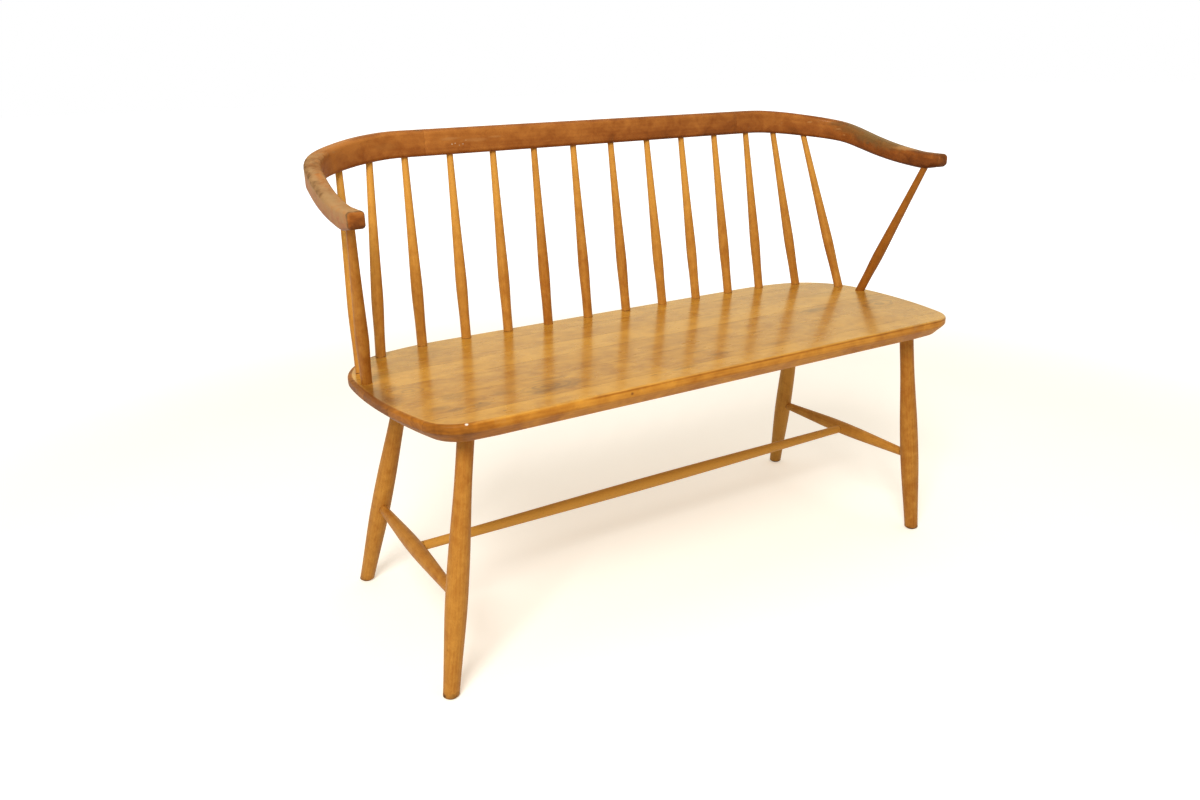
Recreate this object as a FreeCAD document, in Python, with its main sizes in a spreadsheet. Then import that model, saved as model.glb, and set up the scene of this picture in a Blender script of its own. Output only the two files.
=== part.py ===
import FreeCAD, Part
import math
import os

import Sketcher

# Spindle-back bench with a bow rail, in millimetres.
# X runs along the bench, +X to a sitter's left hand, -Y is the front and +Z is up.
# The origin is on the floor, under the middle of the bench's outer box.

Vector = FreeCAD.Vector

doc = FreeCAD.newDocument("spindle_bench")

# Sizes: name, value and what it measures. Lengths are millimetres and angles are degrees.
SIZES = [
    ("seat_height", 440.0, "floor to the top of the seat"),
    ("seat_band_height", 13.0, "upright band of the seat's edge"),
    ("seat_bevel_height", 17.0, "height of the bevel under the band"),
    ("seat_bevel_inset", 14.0, "how far the bevel runs in at the underside"),
    ("seat_top_round", 3.0, "round along the seat's top edge"),
    ("seat_band_round", 8.0, "round between the band and the bevel"),
    ("seat_front_half", 439.5, "half length of the straight front edge"),
    ("seat_front_radius", 60.5, "front corners in plan"),
    ("seat_front_angle", 73.5, "turn of a front corner"),
    ("seat_side_radius", 670.0, "bowed ends in plan"),
    ("seat_side_angle", 20.0, "turn of a bowed end"),
    ("seat_back_radius", 132.0, "back corners in plan"),
    ("seat_back_angle", 72.0, "turn of a back corner"),
    ("seat_shoulder_radius", 400.0, "easing between a back corner and the back edge"),
    ("board_1_width", 41.7, "front board of the seat"),
    ("board_2_width", 84.0, "second board from the front"),
    ("board_3_width", 80.0, "third board from the front"),
    ("board_4_width", 67.0, "fourth board from the front"),
    ("board_5_width", 76.0, "fifth board, the back board takes the rest"),
    ("front_leg_spread", 430.0, "middle of the bench to a front leg, at the seat's underside"),
    ("front_leg_inset", 58.2, "seat's front edge to a front leg, at the seat's underside"),
    ("front_leg_splay", 58.0, "sideways lean of a front leg, down to the floor"),
    ("front_leg_rake", 4.0, "forward lean of a front leg, down to the floor"),
    ("back_leg_spread", 418.5, "middle of the bench to a back leg, at the seat's underside"),
    ("back_leg_inset", 74.0, "seat's back edge to a back leg, at the seat's underside"),
    ("back_leg_splay", 69.0, "sideways lean of a back leg, down to the floor"),
    ("back_leg_rake", 126.0, "backward lean of a back leg, down to the floor"),
    ("leg_foot_diameter", 25.0, "leg at the floor"),
    ("leg_swell_diameter", 33.2, "leg at its thickest"),
    ("leg_top_diameter", 24.6, "leg where it enters the seat"),
    ("leg_tenon", 22.0, "length of a leg inside the seat"),
    ("stretcher_height", 160.0, "floor to the stretchers' middle line"),
    ("stretcher_stop", 4.0, "wood left between a stretcher's end and the axis of what holds it"),
    ("side_stretcher_end", 15.5, "side stretcher's diameter at its ends"),
    ("side_stretcher_swell", 25.0, "side stretcher's diameter at the middle"),
    ("centre_stretcher_share", 0.492, "place of the centre stretcher along a side stretcher, as a share"),
    ("centre_stretcher_end", 15.5, "centre stretcher's diameter at its ends"),
    ("centre_stretcher_swell", 21.5, "centre stretcher's diameter at the middle"),
    ("glide_diameter", 20.0, "glide under a foot"),
    ("glide_thickness", 3.0, "glide between the foot and the floor"),
    ("glide_round", 1.0, "bevel along a glide's lower edge"),
    ("glide_pin_diameter", 3.0, "pin that holds a glide in its foot"),
    ("glide_pin_length", 16.0, "length of that pin above the glide"),
    ("spindle_middle_pitch", 83.0, "pitch of the four middle spindles at the seat"),
    ("spindle_outer_pitch", 80.0, "pitch of the other spindles of the straight row"),
    ("spindle_inset", 15.2, "seat's back edge to the spindle row"),
    ("corner_spindle_x", 444.0, "middle of the bench to the sixth spindle at the seat"),
    ("corner_spindle_inset", 37.2, "seat's back edge to the sixth spindle"),
    ("end_spindle_x", 498.0, "middle of the bench to the end spindle at the seat"),
    ("end_spindle_inset", 106.2, "seat's back edge to the end spindle"),
    ("arm_post_x", 505.5, "middle of the bench to an arm post at the seat"),
    ("arm_post_inset", 157.7, "seat's back edge to an arm post"),
    ("arm_post_offset", 3.0, "arm's middle line to an arm post's head, inwards"),
    ("spindle_top_pitch", 78.1, "pitch of the straight row's spindles along the rail"),
    ("spindle_bend_pitch", 63.0, "pitch of the last two spindles along the rail"),
    ("spindle_foot_diameter", 16.8, "spindle where it enters the seat"),
    ("spindle_swell_diameter", 19.4, "spindle at its thickest"),
    ("spindle_top_diameter", 11.0, "spindle where it enters the rail"),
    ("arm_post_top_diameter", 12.0, "arm post where it enters the arm"),
    ("spindle_foot_tenon", 18.0, "length of a spindle inside the seat"),
    ("spindle_top_tenon", 18.0, "length of a spindle inside the rail"),
    ("arm_post_top_tenon", 14.0, "length of an arm post inside the arm"),
    ("rail_middle_height", 765.5, "floor to the rail's middle line at the back"),
    ("rail_setback", 24.4, "seat's back edge to the rail's middle line, outwards"),
    ("rail_back_height", 42.0, "height of the rail's section at the back"),
    ("rail_back_width", 25.0, "thickness of the rail at the back"),
    ("arm_height", 28.5, "height of an arm's section at its post"),
    ("arm_width", 24.0, "thickness of an arm"),
    ("arm_tip_height", 23.0, "height of an arm at its tip"),
    ("rail_round", 7.0, "round along the rail's long edges"),
    ("arm_tip_round", 2.5, "round of the edges of an arm's end face"),
    ("arm_drop", 67.0, "fall of the rail's middle line from the back to an arm's post"),
    ("rail_straight_half", 346.5, "half length of the rail's straight back"),
    ("rail_bend_radius", 228.0, "first, wide bend of the rail"),
    ("rail_bend_angle", 39.0, "turn of the wide bend"),
    ("rail_tight_radius", 111.5, "second, tight bend of the rail"),
    ("rail_tight_angle", 45.4, "turn of the tight bend"),
    ("arm_length", 205.0, "arm from the tight bend to its tip"),
    ("arm_turn", 8.1, "slight turn of the arm along its length"),
    ("rail_joint_half", 319.5, "middle of the bench to the joint between the rail's back and an arm"),
    ("finger_length", 18.0, "length of the tongue of that joint"),
    ("glue_gap", 0.1, "glue around a round tenon"),
    ("socket_end_gap", 0.3, "room past the end of a tenon"),
    ("cut_overrun", 20.0, "how far a cutting solid runs past what it cuts"),
]

# How each turned piece swells between its ends.
# The first number is the share of its exposed length, the second the share of the swelling.
SPINDLE_LOWER_SHARES = [(0.115, 0.04), (0.165, 0.3), (0.23, 0.75), (0.30, 1.0)]
SPINDLE_UPPER_SHARES = [(0.36, 0.94), (0.475, 0.74), (0.575, 0.56), (0.68, 0.39), (0.78, 0.25), (0.885, 0.12)]
LEG_LOWER_SHARES = [(0.117, 0.3), (0.207, 0.61), (0.28, 0.84), (0.385, 1.0)]
LEG_UPPER_SHARES = [(0.46, 0.96), (0.56, 0.82), (0.65, 0.53), (0.74, 0.23), (0.84, 0.03)]
STRETCHER_SHARES = [(0.05, 0.0), (0.13, 0.22), (0.25, 0.56), (0.37, 0.86), (0.50, 1.0)]

# Stations along an arm: share of its run from the straight back, share of its fall,
# and share of the change from the back's section to the section at the post.
ARM_SHARES = [
    (0.00, 0.000, 0.00),
    (0.055, 0.004, 0.00),
    (0.11, 0.022, 0.00),
    (0.20, 0.080, 0.03),
    (0.29, 0.160, 0.10),
    (0.38, 0.250, 0.21),
    (0.47, 0.360, 0.35),
    (0.56, 0.530, 0.50),
    (0.65, 0.705, 0.65),
    (0.74, 0.845, 0.80),
    (0.83, 0.945, 0.92),
    (0.911, 1.000, 1.00),
]
ARM_TIP_DROP_SHARE = 0.972
ARM_POST_SHARE = 0.911
TONGUE_SHARE = 0.34
BOARD_COUNT = 6


# The sheet of sizes.
sheet = doc.addObject("Spreadsheet::Sheet", "sizes")
sheet_rows = []


def put_size(name, value, note):
    """Write one size to the sheet as a plain number with its alias."""
    sheet_rows.append(name)
    row = str(len(sheet_rows))
    sheet.set("A" + row, name)
    sheet.set("B" + row, repr(float(value)))
    sheet.set("C" + row, note)
    sheet.setAlias("B" + row, name)


for size_name, size_value, size_note in SIZES:
    put_size(size_name, size_value, size_note)
doc.recompute()


def size(name):
    """Read a size back from the sheet."""
    return float(sheet.get(name))


def derive(name, value, note):
    """Add a size that follows from others, so that features can be bound to it."""
    put_size(name, value, note)
    sheet.recompute()


def cell(name):
    """Name a size in an expression."""
    return "<<sizes>>." + name


# Places that several pieces share.
def seat_turns():
    """Radius and turn of each arc of the seat's outline, from the front edge to the back edge."""
    front = math.radians(size("seat_front_angle"))
    side = math.radians(size("seat_side_angle"))
    back = math.radians(size("seat_back_angle"))
    return [
        (size("seat_front_radius"), front),
        (size("seat_side_radius"), side),
        (size("seat_back_radius"), back),
        (size("seat_shoulder_radius"), math.pi - front - side - back),
    ]


def seat_arcs():
    """Start, middle and end of each arc of the seat's outline, with the front edge on y = 0."""
    x = size("seat_front_half")
    y = 0.0
    heading = 0.0
    arcs = []
    for radius, turn in seat_turns():
        centre = Vector(x - radius * math.sin(heading), y + radius * math.cos(heading), 0)
        points = []
        for share in (0.0, 0.5, 1.0):
            angle = heading + turn * share
            points.append(centre + Vector(radius * math.sin(angle), -radius * math.cos(angle), 0))
        arcs.append(points)
        heading += turn
        x = points[-1].x
        y = points[-1].y
    return arcs


derive("seat_depth", seat_arcs()[-1][-1].y, "seat from the front edge to the back edge")
derive("seat_thickness", size("seat_band_height") + size("seat_bevel_height"), "seat's thickness")
derive("seat_underside", size("seat_height") - size("seat_thickness"), "floor to the seat's underside")


def back_foot_reach():
    """How far the back of a back foot lies behind that leg's place at the seat."""
    lean = size("back_leg_rake") / size("seat_underside")
    side = size("back_leg_splay") / size("seat_underside")
    radius = size("leg_foot_diameter") / 2
    half_chord = radius * math.sqrt((1 + lean ** 2 + side ** 2) / (1 + side ** 2))
    return lean * (size("seat_underside") - size("glide_thickness")) + half_chord


total_depth = size("seat_depth") - size("back_leg_inset") + back_foot_reach()
derive("seat_front", -total_depth / 2, "place of the seat's front edge along Y")
derive("seat_back", size("seat_front") + size("seat_depth"), "place of the seat's back edge along Y")
derive("rail_back_place", size("seat_back") + size("rail_setback"), "place of the rail's back along Y")
seat_length_half = max(point.x for arc in seat_arcs() for point in arc)


def front_leg_point(height):
    """Where the axis of the right front leg passes a height above the floor."""
    down = (size("seat_underside") - height) / size("seat_underside")
    x = size("front_leg_spread") + size("front_leg_splay") * down
    y = size("seat_front") + size("front_leg_inset") - size("front_leg_rake") * down
    return Vector(x, y, height)


def back_leg_point(height):
    """Where the axis of the right back leg passes a height above the floor."""
    down = (size("seat_underside") - height) / size("seat_underside")
    x = size("back_leg_spread") + size("back_leg_splay") * down
    y = size("seat_back") - size("back_leg_inset") + size("back_leg_rake") * down
    return Vector(x, y, height)


def rail_bends():
    """Radius and turn of each bend of the rail, from the straight back to the tip."""
    arm_turn = math.radians(size("arm_turn"))
    return [
        (size("rail_bend_radius"), math.radians(size("rail_bend_angle"))),
        (size("rail_tight_radius"), math.radians(size("rail_tight_angle"))),
        (size("arm_length") / arm_turn, arm_turn),
    ]


derive("arm_run", sum(radius * turn for radius, turn in rail_bends()), "length of an arm's bent run")


def rail_plan_point(along):
    """Place and heading of the rail's middle line in plan, a length along it from the middle."""
    x = min(along, size("rail_straight_half"))
    y = size("rail_back_place")
    heading = 0.0
    left = along - x
    for radius, turn in rail_bends():
        step = max(0.0, min(turn, left / radius))
        x += radius * (math.sin(heading + step) - math.sin(heading))
        y -= radius * (math.cos(heading) - math.cos(heading + step))
        heading += step
        left -= radius * turn
    return Vector(x, y, 0), heading


def between(low, high, table, column, share):
    """Read one column of a table of shares at a share of the run."""
    for before, after in zip(table, table[1:]):
        if before[0] <= share <= after[0]:
            part = (share - before[0]) / (after[0] - before[0])
            value = before[column] + (after[column] - before[column]) * part
            return low + (high - low) * value
    return low if share < table[0][0] else high


def rail_underside_point(along):
    """Where something that stands under the rail's middle line meets its underside."""
    point, heading = rail_plan_point(along)
    share = (along - size("rail_straight_half")) / size("arm_run")
    fall = between(0.0, size("arm_drop"), ARM_SHARES, 1, share)
    section = between(size("rail_back_height"), size("arm_height"), ARM_SHARES, 2, share)
    return Vector(point.x, point.y, size("rail_middle_height") - fall - section / 2)


# Sketches and bodies.
def attach(body, sketch, role):
    """Lay a sketch on one of its own body's origin planes."""
    plane = [item for item in body.Origin.OriginFeatures if item.Role == role][0]
    sketch.AttachmentSupport = [(plane, "")]
    sketch.MapMode = "FlatFace"


def bind(sketch, kind, arguments, value, name, expression):
    """Add a dimension to a sketch and bind it to the sheet."""
    index = sketch.addConstraint(Sketcher.Constraint(kind, *arguments, value))
    sketch.renameConstraint(index, name)
    sketch.setExpression("Constraints." + name, expression)


def evaluate(expression):
    """Work out an expression on the sheet's cells."""
    return float(sheet.evalExpression(expression))


def turned_body(name, stations):
    """Revolve a profile of (height, radius) expressions about the vertical axis. It starts at 0."""
    body = doc.addObject("PartDesign::Body", name)
    sketch = body.newObject("Sketcher::SketchObject", name + "_profile")
    attach(body, sketch, "XZ_Plane")
    heights = [0.0] + [evaluate(height) for height, radius in stations[1:]]
    radii = [evaluate(radius) for height, radius in stations]
    corners = [Vector(0, heights[0], 0)]
    corners += [Vector(radius, height, 0) for height, radius in zip(heights, radii)]
    corners.append(Vector(0, heights[-1], 0))
    count = len(corners)
    for index in range(count):
        sketch.addGeometry(Part.LineSegment(corners[index], corners[(index + 1) % count]))
    for index in range(count):
        sketch.addConstraint(Sketcher.Constraint("Coincident", index, 2, (index + 1) % count, 1))
    sketch.addConstraint(Sketcher.Constraint("Coincident", 0, 1, -1, 1))
    sketch.addConstraint(Sketcher.Constraint("PointOnObject", 1, 1, -1))
    sketch.addConstraint(Sketcher.Constraint("PointOnObject", count - 1, 1, -2))
    for index, (height, radius) in enumerate(stations):
        line = index + 1
        bind(sketch, "DistanceX", (-1, 1, line, 1), radii[index], "radius_%d" % index, radius)
        if index > 0:
            bind(sketch, "DistanceY", (-1, 1, line, 1), heights[index], "height_%d" % index, height)
    sketch.addConstraint(Sketcher.Constraint("Horizontal", count - 2))
    turning = body.newObject("PartDesign::Revolution", name + "_turning")
    turning.Profile = sketch
    turning.ReferenceAxis = (sketch, ["V_Axis"])
    turning.Angle = 360
    doc.recompute()
    return body


def along_axis(start, end):
    """Placement that stands a turned piece on start with its axis towards end."""
    return FreeCAD.Placement(start, FreeCAD.Rotation(Vector(0, 0, 1), end - start))


def socket_cutter(name, mouth, bottom, radius):
    """Cylinder for a blind round hole from past its mouth to its bottom. Radius is an expression."""
    cutter = doc.addObject("Part::Cylinder", name)
    cutter.setExpression("Radius", radius)
    direction = (bottom - mouth).normalize()
    start = mouth - direction * size("cut_overrun")
    cutter.Height = (bottom - start).Length
    cutter.Placement = along_axis(start, bottom)
    return cutter


def mirrored(source, name):
    """The same solid on the other side of the bench's middle plane."""
    copy = doc.addObject("Part::Mirroring", name)
    copy.Source = source
    copy.Base = Vector(0, 0, 0)
    copy.Normal = Vector(1, 0, 0)
    return copy


def gathered(name, members):
    """Several cutting solids as one tool."""
    tool = doc.addObject("Part::Compound", name)
    tool.Links = members
    return tool


def cut(name, base, tool):
    """A piece less a tool, under the piece's own name."""
    result = doc.addObject("Part::Cut", name)
    result.Base = base
    result.Tool = tool
    result.Label = name
    return result


nodes = []


def keep(piece, name):
    """List a finished piece. Its label is its file's name."""
    piece.Label = name
    nodes.append(piece)
    return piece


def keep_pair(piece, stem):
    """List a right-hand piece and its mirror image."""
    keep(piece, stem + "_right")
    keep(mirrored(piece, stem + "_left"), stem + "_left")


# Spindles and arm posts.
def swelling(low, top, swell, lower_shares, upper_shares, tenon, exposed):
    """Stations of a turned piece that swells between its two ends, as expressions."""
    stations = []
    for share, part in lower_shares:
        height = "%s + %s * %r" % (tenon, exposed, share)
        radius = "(%s + (%s - %s) * %r) / 2" % (low, swell, low, part)
        stations.append((height, radius))
    for share, part in upper_shares:
        height = "%s + %s * %r" % (tenon, exposed, share)
        radius = "(%s + (%s - %s) * %r) / 2" % (top, swell, top, part)
        stations.append((height, radius))
    return stations


def spindle(name, foot, head, top_diameter, top_tenon):
    """A spindle whose axis meets the seat's top at foot and the rail's underside at head."""
    direction = (head - foot).normalize()
    derive(name + "_exposed", (head - foot).Length, "spindle between the seat and the rail")
    low = cell("spindle_foot_diameter")
    swell = cell("spindle_swell_diameter")
    tenon = cell("spindle_foot_tenon")
    exposed = cell(name + "_exposed")
    full = "%s + %s + %s" % (tenon, exposed, cell(top_tenon))
    stations = [("0", low + " / 2")]
    stations += swelling(low, cell(top_diameter), swell, SPINDLE_LOWER_SHARES, SPINDLE_UPPER_SHARES,
                         tenon, exposed)
    stations.append(("%s + %s" % (tenon, exposed), cell(top_diameter) + " / 2"))
    stations.append((full, cell(top_diameter) + " / 2"))
    body = turned_body(name, stations)
    start = foot - direction * size("spindle_foot_tenon")
    body.Placement = along_axis(start, head)
    gap = size("socket_end_gap")
    seat_end = start - direction * gap
    rail_end = head + direction * (size(top_tenon) + gap)
    glue = cell("glue_gap")
    seat_socket = socket_cutter(name + "_seat_socket", foot, seat_end, low + " / 2 + " + glue)
    rail_socket = socket_cutter(name + "_rail_socket", head, rail_end,
                                cell(top_diameter) + " / 2 + " + glue)
    return body, seat_socket, rail_socket


def spindle_feet():
    """Where the right half's spindles meet the seat, from the middle outwards."""
    row = size("seat_back") - size("spindle_inset")
    middle = size("spindle_middle_pitch")
    outer = size("spindle_outer_pitch")
    places = [middle * 0.5, middle * 1.5]
    while len(places) < 5:
        places.append(places[-1] + outer)
    top = size("seat_height")
    feet = [Vector(x, row, top) for x in places]
    feet.append(Vector(size("corner_spindle_x"), size("seat_back") - size("corner_spindle_inset"), top))
    feet.append(Vector(size("end_spindle_x"), size("seat_back") - size("end_spindle_inset"), top))
    return feet


def spindle_heads():
    """Where the right half's spindles meet the rail, from the middle outwards."""
    places = [size("spindle_top_pitch") * (index + 0.5) for index in range(5)]
    places.append(places[-1] + size("spindle_bend_pitch"))
    places.append(places[-1] + size("spindle_bend_pitch"))
    return [rail_underside_point(along) for along in places]


seat_sockets = []
rail_sockets = []
spindle_bodies = []
half_count = len(spindle_feet())
for index, (foot, head) in enumerate(zip(spindle_feet(), spindle_heads())):
    right_name = "back_spindle_%02d" % (half_count + 1 + index)
    body, seat_socket, rail_socket = spindle(
        right_name, foot, head, "spindle_top_diameter", "spindle_top_tenon")
    seat_sockets.append((seat_socket, foot.y))
    rail_sockets.append((rail_socket, head.x))
    keep(body, right_name)
    left_name = "back_spindle_%02d" % (half_count - index)
    keep(mirrored(body, left_name), left_name)

post_foot = Vector(size("arm_post_x"), size("seat_back") - size("arm_post_inset"), size("seat_height"))
post_along = size("rail_straight_half") + size("arm_run") * ARM_POST_SHARE
post_head = rail_underside_point(post_along) - Vector(size("arm_post_offset"), 0, 0)
post_body, post_seat_socket, post_rail_socket = spindle(
    "arm_post", post_foot, post_head, "arm_post_top_diameter", "arm_post_top_tenon")
seat_sockets.append((post_seat_socket, post_foot.y))
rail_sockets.append((post_rail_socket, post_head.x))
keep_pair(post_body, "arm_post")


# Stretchers. A stretcher stops short of the axis of what holds it.
def stretcher(name, start, end, end_diameter, swell_diameter):
    """A stretcher between two axes, thickest half way, with the cutters of its two sockets."""
    direction = (end - start).normalize()
    stop = size("stretcher_stop")
    derive(name + "_length", (end - start).Length - 2 * stop, "stretcher from end to end")
    low = cell(end_diameter)
    swell = cell(swell_diameter)
    length = cell(name + "_length")
    stations = [("0", low + " / 2")]
    for share, part in STRETCHER_SHARES:
        stations.append(("%s * %r" % (length, share), "(%s + (%s - %s) * %r) / 2" % (low, swell, low, part)))
    for share, part in reversed(STRETCHER_SHARES[:-1]):
        stations.append(("%s * %r" % (length, 1 - share),
                         "(%s + (%s - %s) * %r) / 2" % (low, swell, low, part)))
    stations.append((length, low + " / 2"))
    body = turned_body(name, stations)
    first = start + direction * stop
    last = end - direction * stop
    body.Placement = along_axis(first, last)
    gap = size("socket_end_gap")
    reach = max(size("leg_swell_diameter"), size(swell_diameter))
    radius = low + " / 2 + " + cell("glue_gap")
    start_socket = socket_cutter(name + "_start_socket", first + direction * reach,
                                 first - direction * gap, radius)
    end_socket = socket_cutter(name + "_end_socket", last - direction * reach,
                               last + direction * gap, radius)
    return body, start_socket, end_socket


front_joint = front_leg_point(size("stretcher_height"))
back_joint = back_leg_point(size("stretcher_height"))
side_body, front_leg_socket, back_leg_socket = stretcher(
    "side_stretcher", front_joint, back_joint, "side_stretcher_end", "side_stretcher_swell")

centre_end = front_joint + (back_joint - front_joint) * size("centre_stretcher_share")
centre_start = Vector(-centre_end.x, centre_end.y, centre_end.z)
centre_body, left_side_socket, right_side_socket = stretcher(
    "centre_stretcher", centre_start, centre_end, "centre_stretcher_end", "centre_stretcher_swell")
keep(centre_body, "centre_stretcher")
keep_pair(cut("side_stretcher_right", side_body, right_side_socket), "side_stretcher")


# Glides. Each is a bevelled disc with a pin that is driven into the foot.
def glide(name, place):
    """A glide under the foot at place, with the cutter of its pin's hole."""
    disc = cell("glide_diameter") + " / 2"
    thick = cell("glide_thickness")
    pin = cell("glide_pin_diameter") + " / 2"
    tall = "%s + %s" % (thick, cell("glide_pin_length"))
    bevel = cell("glide_round")
    body = turned_body(name, [("0", disc + " - " + bevel), (bevel, disc), (thick, disc),
                              (thick, pin), (tall, pin)])
    body.Placement = FreeCAD.Placement(Vector(place.x, place.y, 0), FreeCAD.Rotation())
    mouth = Vector(place.x, place.y, size("glide_thickness"))
    bottom = mouth + Vector(0, 0, size("glide_pin_length") + size("socket_end_gap"))
    hole = socket_cutter(name + "_pin_hole", mouth, bottom, pin + " + " + cell("glue_gap"))
    return body, hole


# Legs. A leg is turned over length, then cut level on the glide.
def leg(name, foot, head, stretcher_socket, pin_hole):
    """A leg whose axis meets the top of its glide at foot and the seat's underside at head."""
    direction = (head - foot).normalize()
    derive(name + "_exposed", (head - foot).Length, "leg between the glide and the seat")
    low = cell("leg_foot_diameter")
    top = cell("leg_top_diameter")
    swell = cell("leg_swell_diameter")
    extra = cell("cut_overrun")
    exposed = cell(name + "_exposed")
    stations = [("0", low + " / 2"), (extra, low + " / 2")]
    stations += swelling(low, top, swell, LEG_LOWER_SHARES, LEG_UPPER_SHARES, extra, exposed)
    stations.append(("%s + %s" % (extra, exposed), top + " / 2"))
    stations.append(("%s + %s + %s" % (extra, exposed, cell("leg_tenon")), top + " / 2"))
    body = turned_body(name + "_turning", stations)
    start = foot - direction * size("cut_overrun")
    body.Placement = along_axis(start, head)
    below = doc.addObject("Part::Box", name + "_floor_cut")
    span = cell("cut_overrun") + " * 4"
    below.setExpression("Length", span)
    below.setExpression("Width", span)
    below.setExpression("Height", span)
    half = size("cut_overrun") * 2
    below.Placement = FreeCAD.Placement(
        Vector(foot.x - half, foot.y - half, foot.z - 2 * half), FreeCAD.Rotation())
    level = cut(name + "_level", body, below)
    tool = gathered(name + "_cuts", [stretcher_socket, pin_hole])
    seat_end = head + direction * (size("leg_tenon") + size("socket_end_gap"))
    seat_socket = socket_cutter(name + "_seat_socket", head, seat_end,
                                top + " / 2 + " + cell("glue_gap"))
    return cut(name, level, tool), seat_socket


for stem, leg_point, stretcher_socket in (("leg_front", front_leg_point, front_leg_socket),
                                          ("leg_back", back_leg_point, back_leg_socket)):
    foot = leg_point(size("glide_thickness"))
    head = leg_point(size("seat_underside"))
    glide_body, pin_hole = glide(stem.replace("leg", "glide"), foot)
    leg_piece, seat_socket = leg(stem, foot, head, stretcher_socket, pin_hole)
    seat_sockets.append((seat_socket, head.y))
    keep_pair(leg_piece, stem)
    keep_pair(glide_body, stem.replace("leg", "glide"))


# Seat. One outline is padded up as the band and down as the bevel, then parted into boards.
def seat_sketch(body):
    """The seat's outline: front edge, four arcs, back edge and the same arcs on the other side."""
    sketch = body.newObject("Sketcher::SketchObject", "seat_outline")
    attach(body, sketch, "XY_Plane")
    arcs = seat_arcs()
    front_end = arcs[0][0]
    back_end = arcs[-1][-1]
    sketch.addGeometry(Part.LineSegment(Vector(-front_end.x, 0, 0), front_end))
    for points in arcs:
        sketch.addGeometry(Part.Arc(*points))
    sketch.addGeometry(Part.LineSegment(back_end, Vector(-back_end.x, back_end.y, 0)))
    for points in reversed(arcs):
        other = [Vector(-point.x, point.y, 0) for point in reversed(points)]
        sketch.addGeometry(Part.Arc(*other))
    count = sketch.GeometryCount
    for index in range(count):
        sketch.addConstraint(Sketcher.Constraint("Tangent", index, 2, (index + 1) % count, 1))
    sketch.addConstraint(Sketcher.Constraint("Symmetric", 0, 1, 0, 2, -1, 1))
    sketch.addConstraint(Sketcher.Constraint("Horizontal", 0))
    bind(sketch, "DistanceX", (0, 1, 0, 2), 2 * front_end.x, "front_edge", cell("seat_front_half") + " * 2")
    names = ["seat_front", "seat_side", "seat_back", "seat_shoulder"]
    for index, name in enumerate(names):
        radius = name + "_radius"
        for side, line in (("right", index + 1), ("left", count - 1 - index)):
            bind(sketch, "Radius", (line,), size(radius), radius + "_" + side, cell(radius))
    for index, name in enumerate(names[:-1]):
        angle = name + "_angle"
        for side, line in (("right", index + 1), ("left", count - 1 - index)):
            bind(sketch, "Angle", (line,), math.radians(size(angle)), angle + "_" + side,
                 cell(angle) + " * 1 deg")
    return sketch


def edges_at(shape, height):
    """Names of a shape's edges that lie level at a height."""
    names = []
    for index, edge in enumerate(shape.Edges):
        box = edge.BoundBox
        level = abs(box.ZMin - height) < box.DiagonalLength / 10000
        if level and abs(box.ZMax - height) < box.DiagonalLength / 10000:
            names.append("Edge%d" % (index + 1))
    return names


def seat_blank():
    """The seat's whole shape, with its sketch on the line between the band and the bevel."""
    body = doc.addObject("PartDesign::Body", "seat_blank")
    sketch = seat_sketch(body)
    band = body.newObject("PartDesign::Pad", "seat_band")
    band.Profile = sketch
    band.setExpression("Length", cell("seat_band_height"))
    bevel = body.newObject("PartDesign::Pad", "seat_bevel")
    bevel.Profile = sketch
    bevel.Reversed = True
    bevel.setExpression("Length", cell("seat_bevel_height"))
    slope = "-atan(%s / %s)" % (cell("seat_bevel_inset"), cell("seat_bevel_height"))
    bevel.setExpression("TaperAngle", slope)
    doc.recompute()
    top_round = body.newObject("PartDesign::Fillet", "seat_top_edge")
    top_round.Base = (bevel, edges_at(bevel.Shape, size("seat_band_height")))
    top_round.setExpression("Radius", cell("seat_top_round"))
    doc.recompute()
    band_round = body.newObject("PartDesign::Fillet", "seat_band_edge")
    band_round.Base = (top_round, edges_at(top_round.Shape, 0.0))
    band_round.setExpression("Radius", cell("seat_band_round"))
    doc.recompute()
    place = Vector(0, size("seat_front"), size("seat_underside") + size("seat_bevel_height"))
    body.Placement = FreeCAD.Placement(place, FreeCAD.Rotation())
    return body


def board_edges():
    """Places of the joints between the seat's boards along Y, with the outer edges at the ends."""
    edges = [size("seat_front") - size("cut_overrun")]
    place = size("seat_front")
    for index in range(1, BOARD_COUNT):
        place += size("board_%d_width" % index)
        edges.append(place)
    edges.append(size("seat_back") + size("cut_overrun"))
    return edges


def block(name, low, high):
    """A box between two corners."""
    box = doc.addObject("Part::Box", name)
    box.Length = high.x - low.x
    box.Width = high.y - low.y
    box.Height = high.z - low.z
    box.Placement = FreeCAD.Placement(low, FreeCAD.Rotation())
    return box


blank = seat_blank()
reach = seat_length_half + size("cut_overrun")
floor_side = size("seat_underside") - size("cut_overrun")
top_side = size("seat_height") + size("cut_overrun")
edges = board_edges()
for index, (near, far) in enumerate(zip(edges, edges[1:])):
    number = index + 1
    name = "seat_board_%d" % number
    strip = block(name + "_strip", Vector(-reach, near, floor_side), Vector(reach, far, top_side))
    board = doc.addObject("Part::Common", name + "_plain")
    board.Base = blank
    board.Tool = strip
    mine = [socket for socket, mouth_y in seat_sockets if near < mouth_y < far]
    if not mine:
        keep(board, name)
        continue
    right_tool = gathered(name + "_right_sockets", mine)
    left_tool = mirrored(right_tool, name + "_left_sockets")
    keep(cut(name, board, gathered(name + "_sockets", [right_tool, left_tool])), name)


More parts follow.
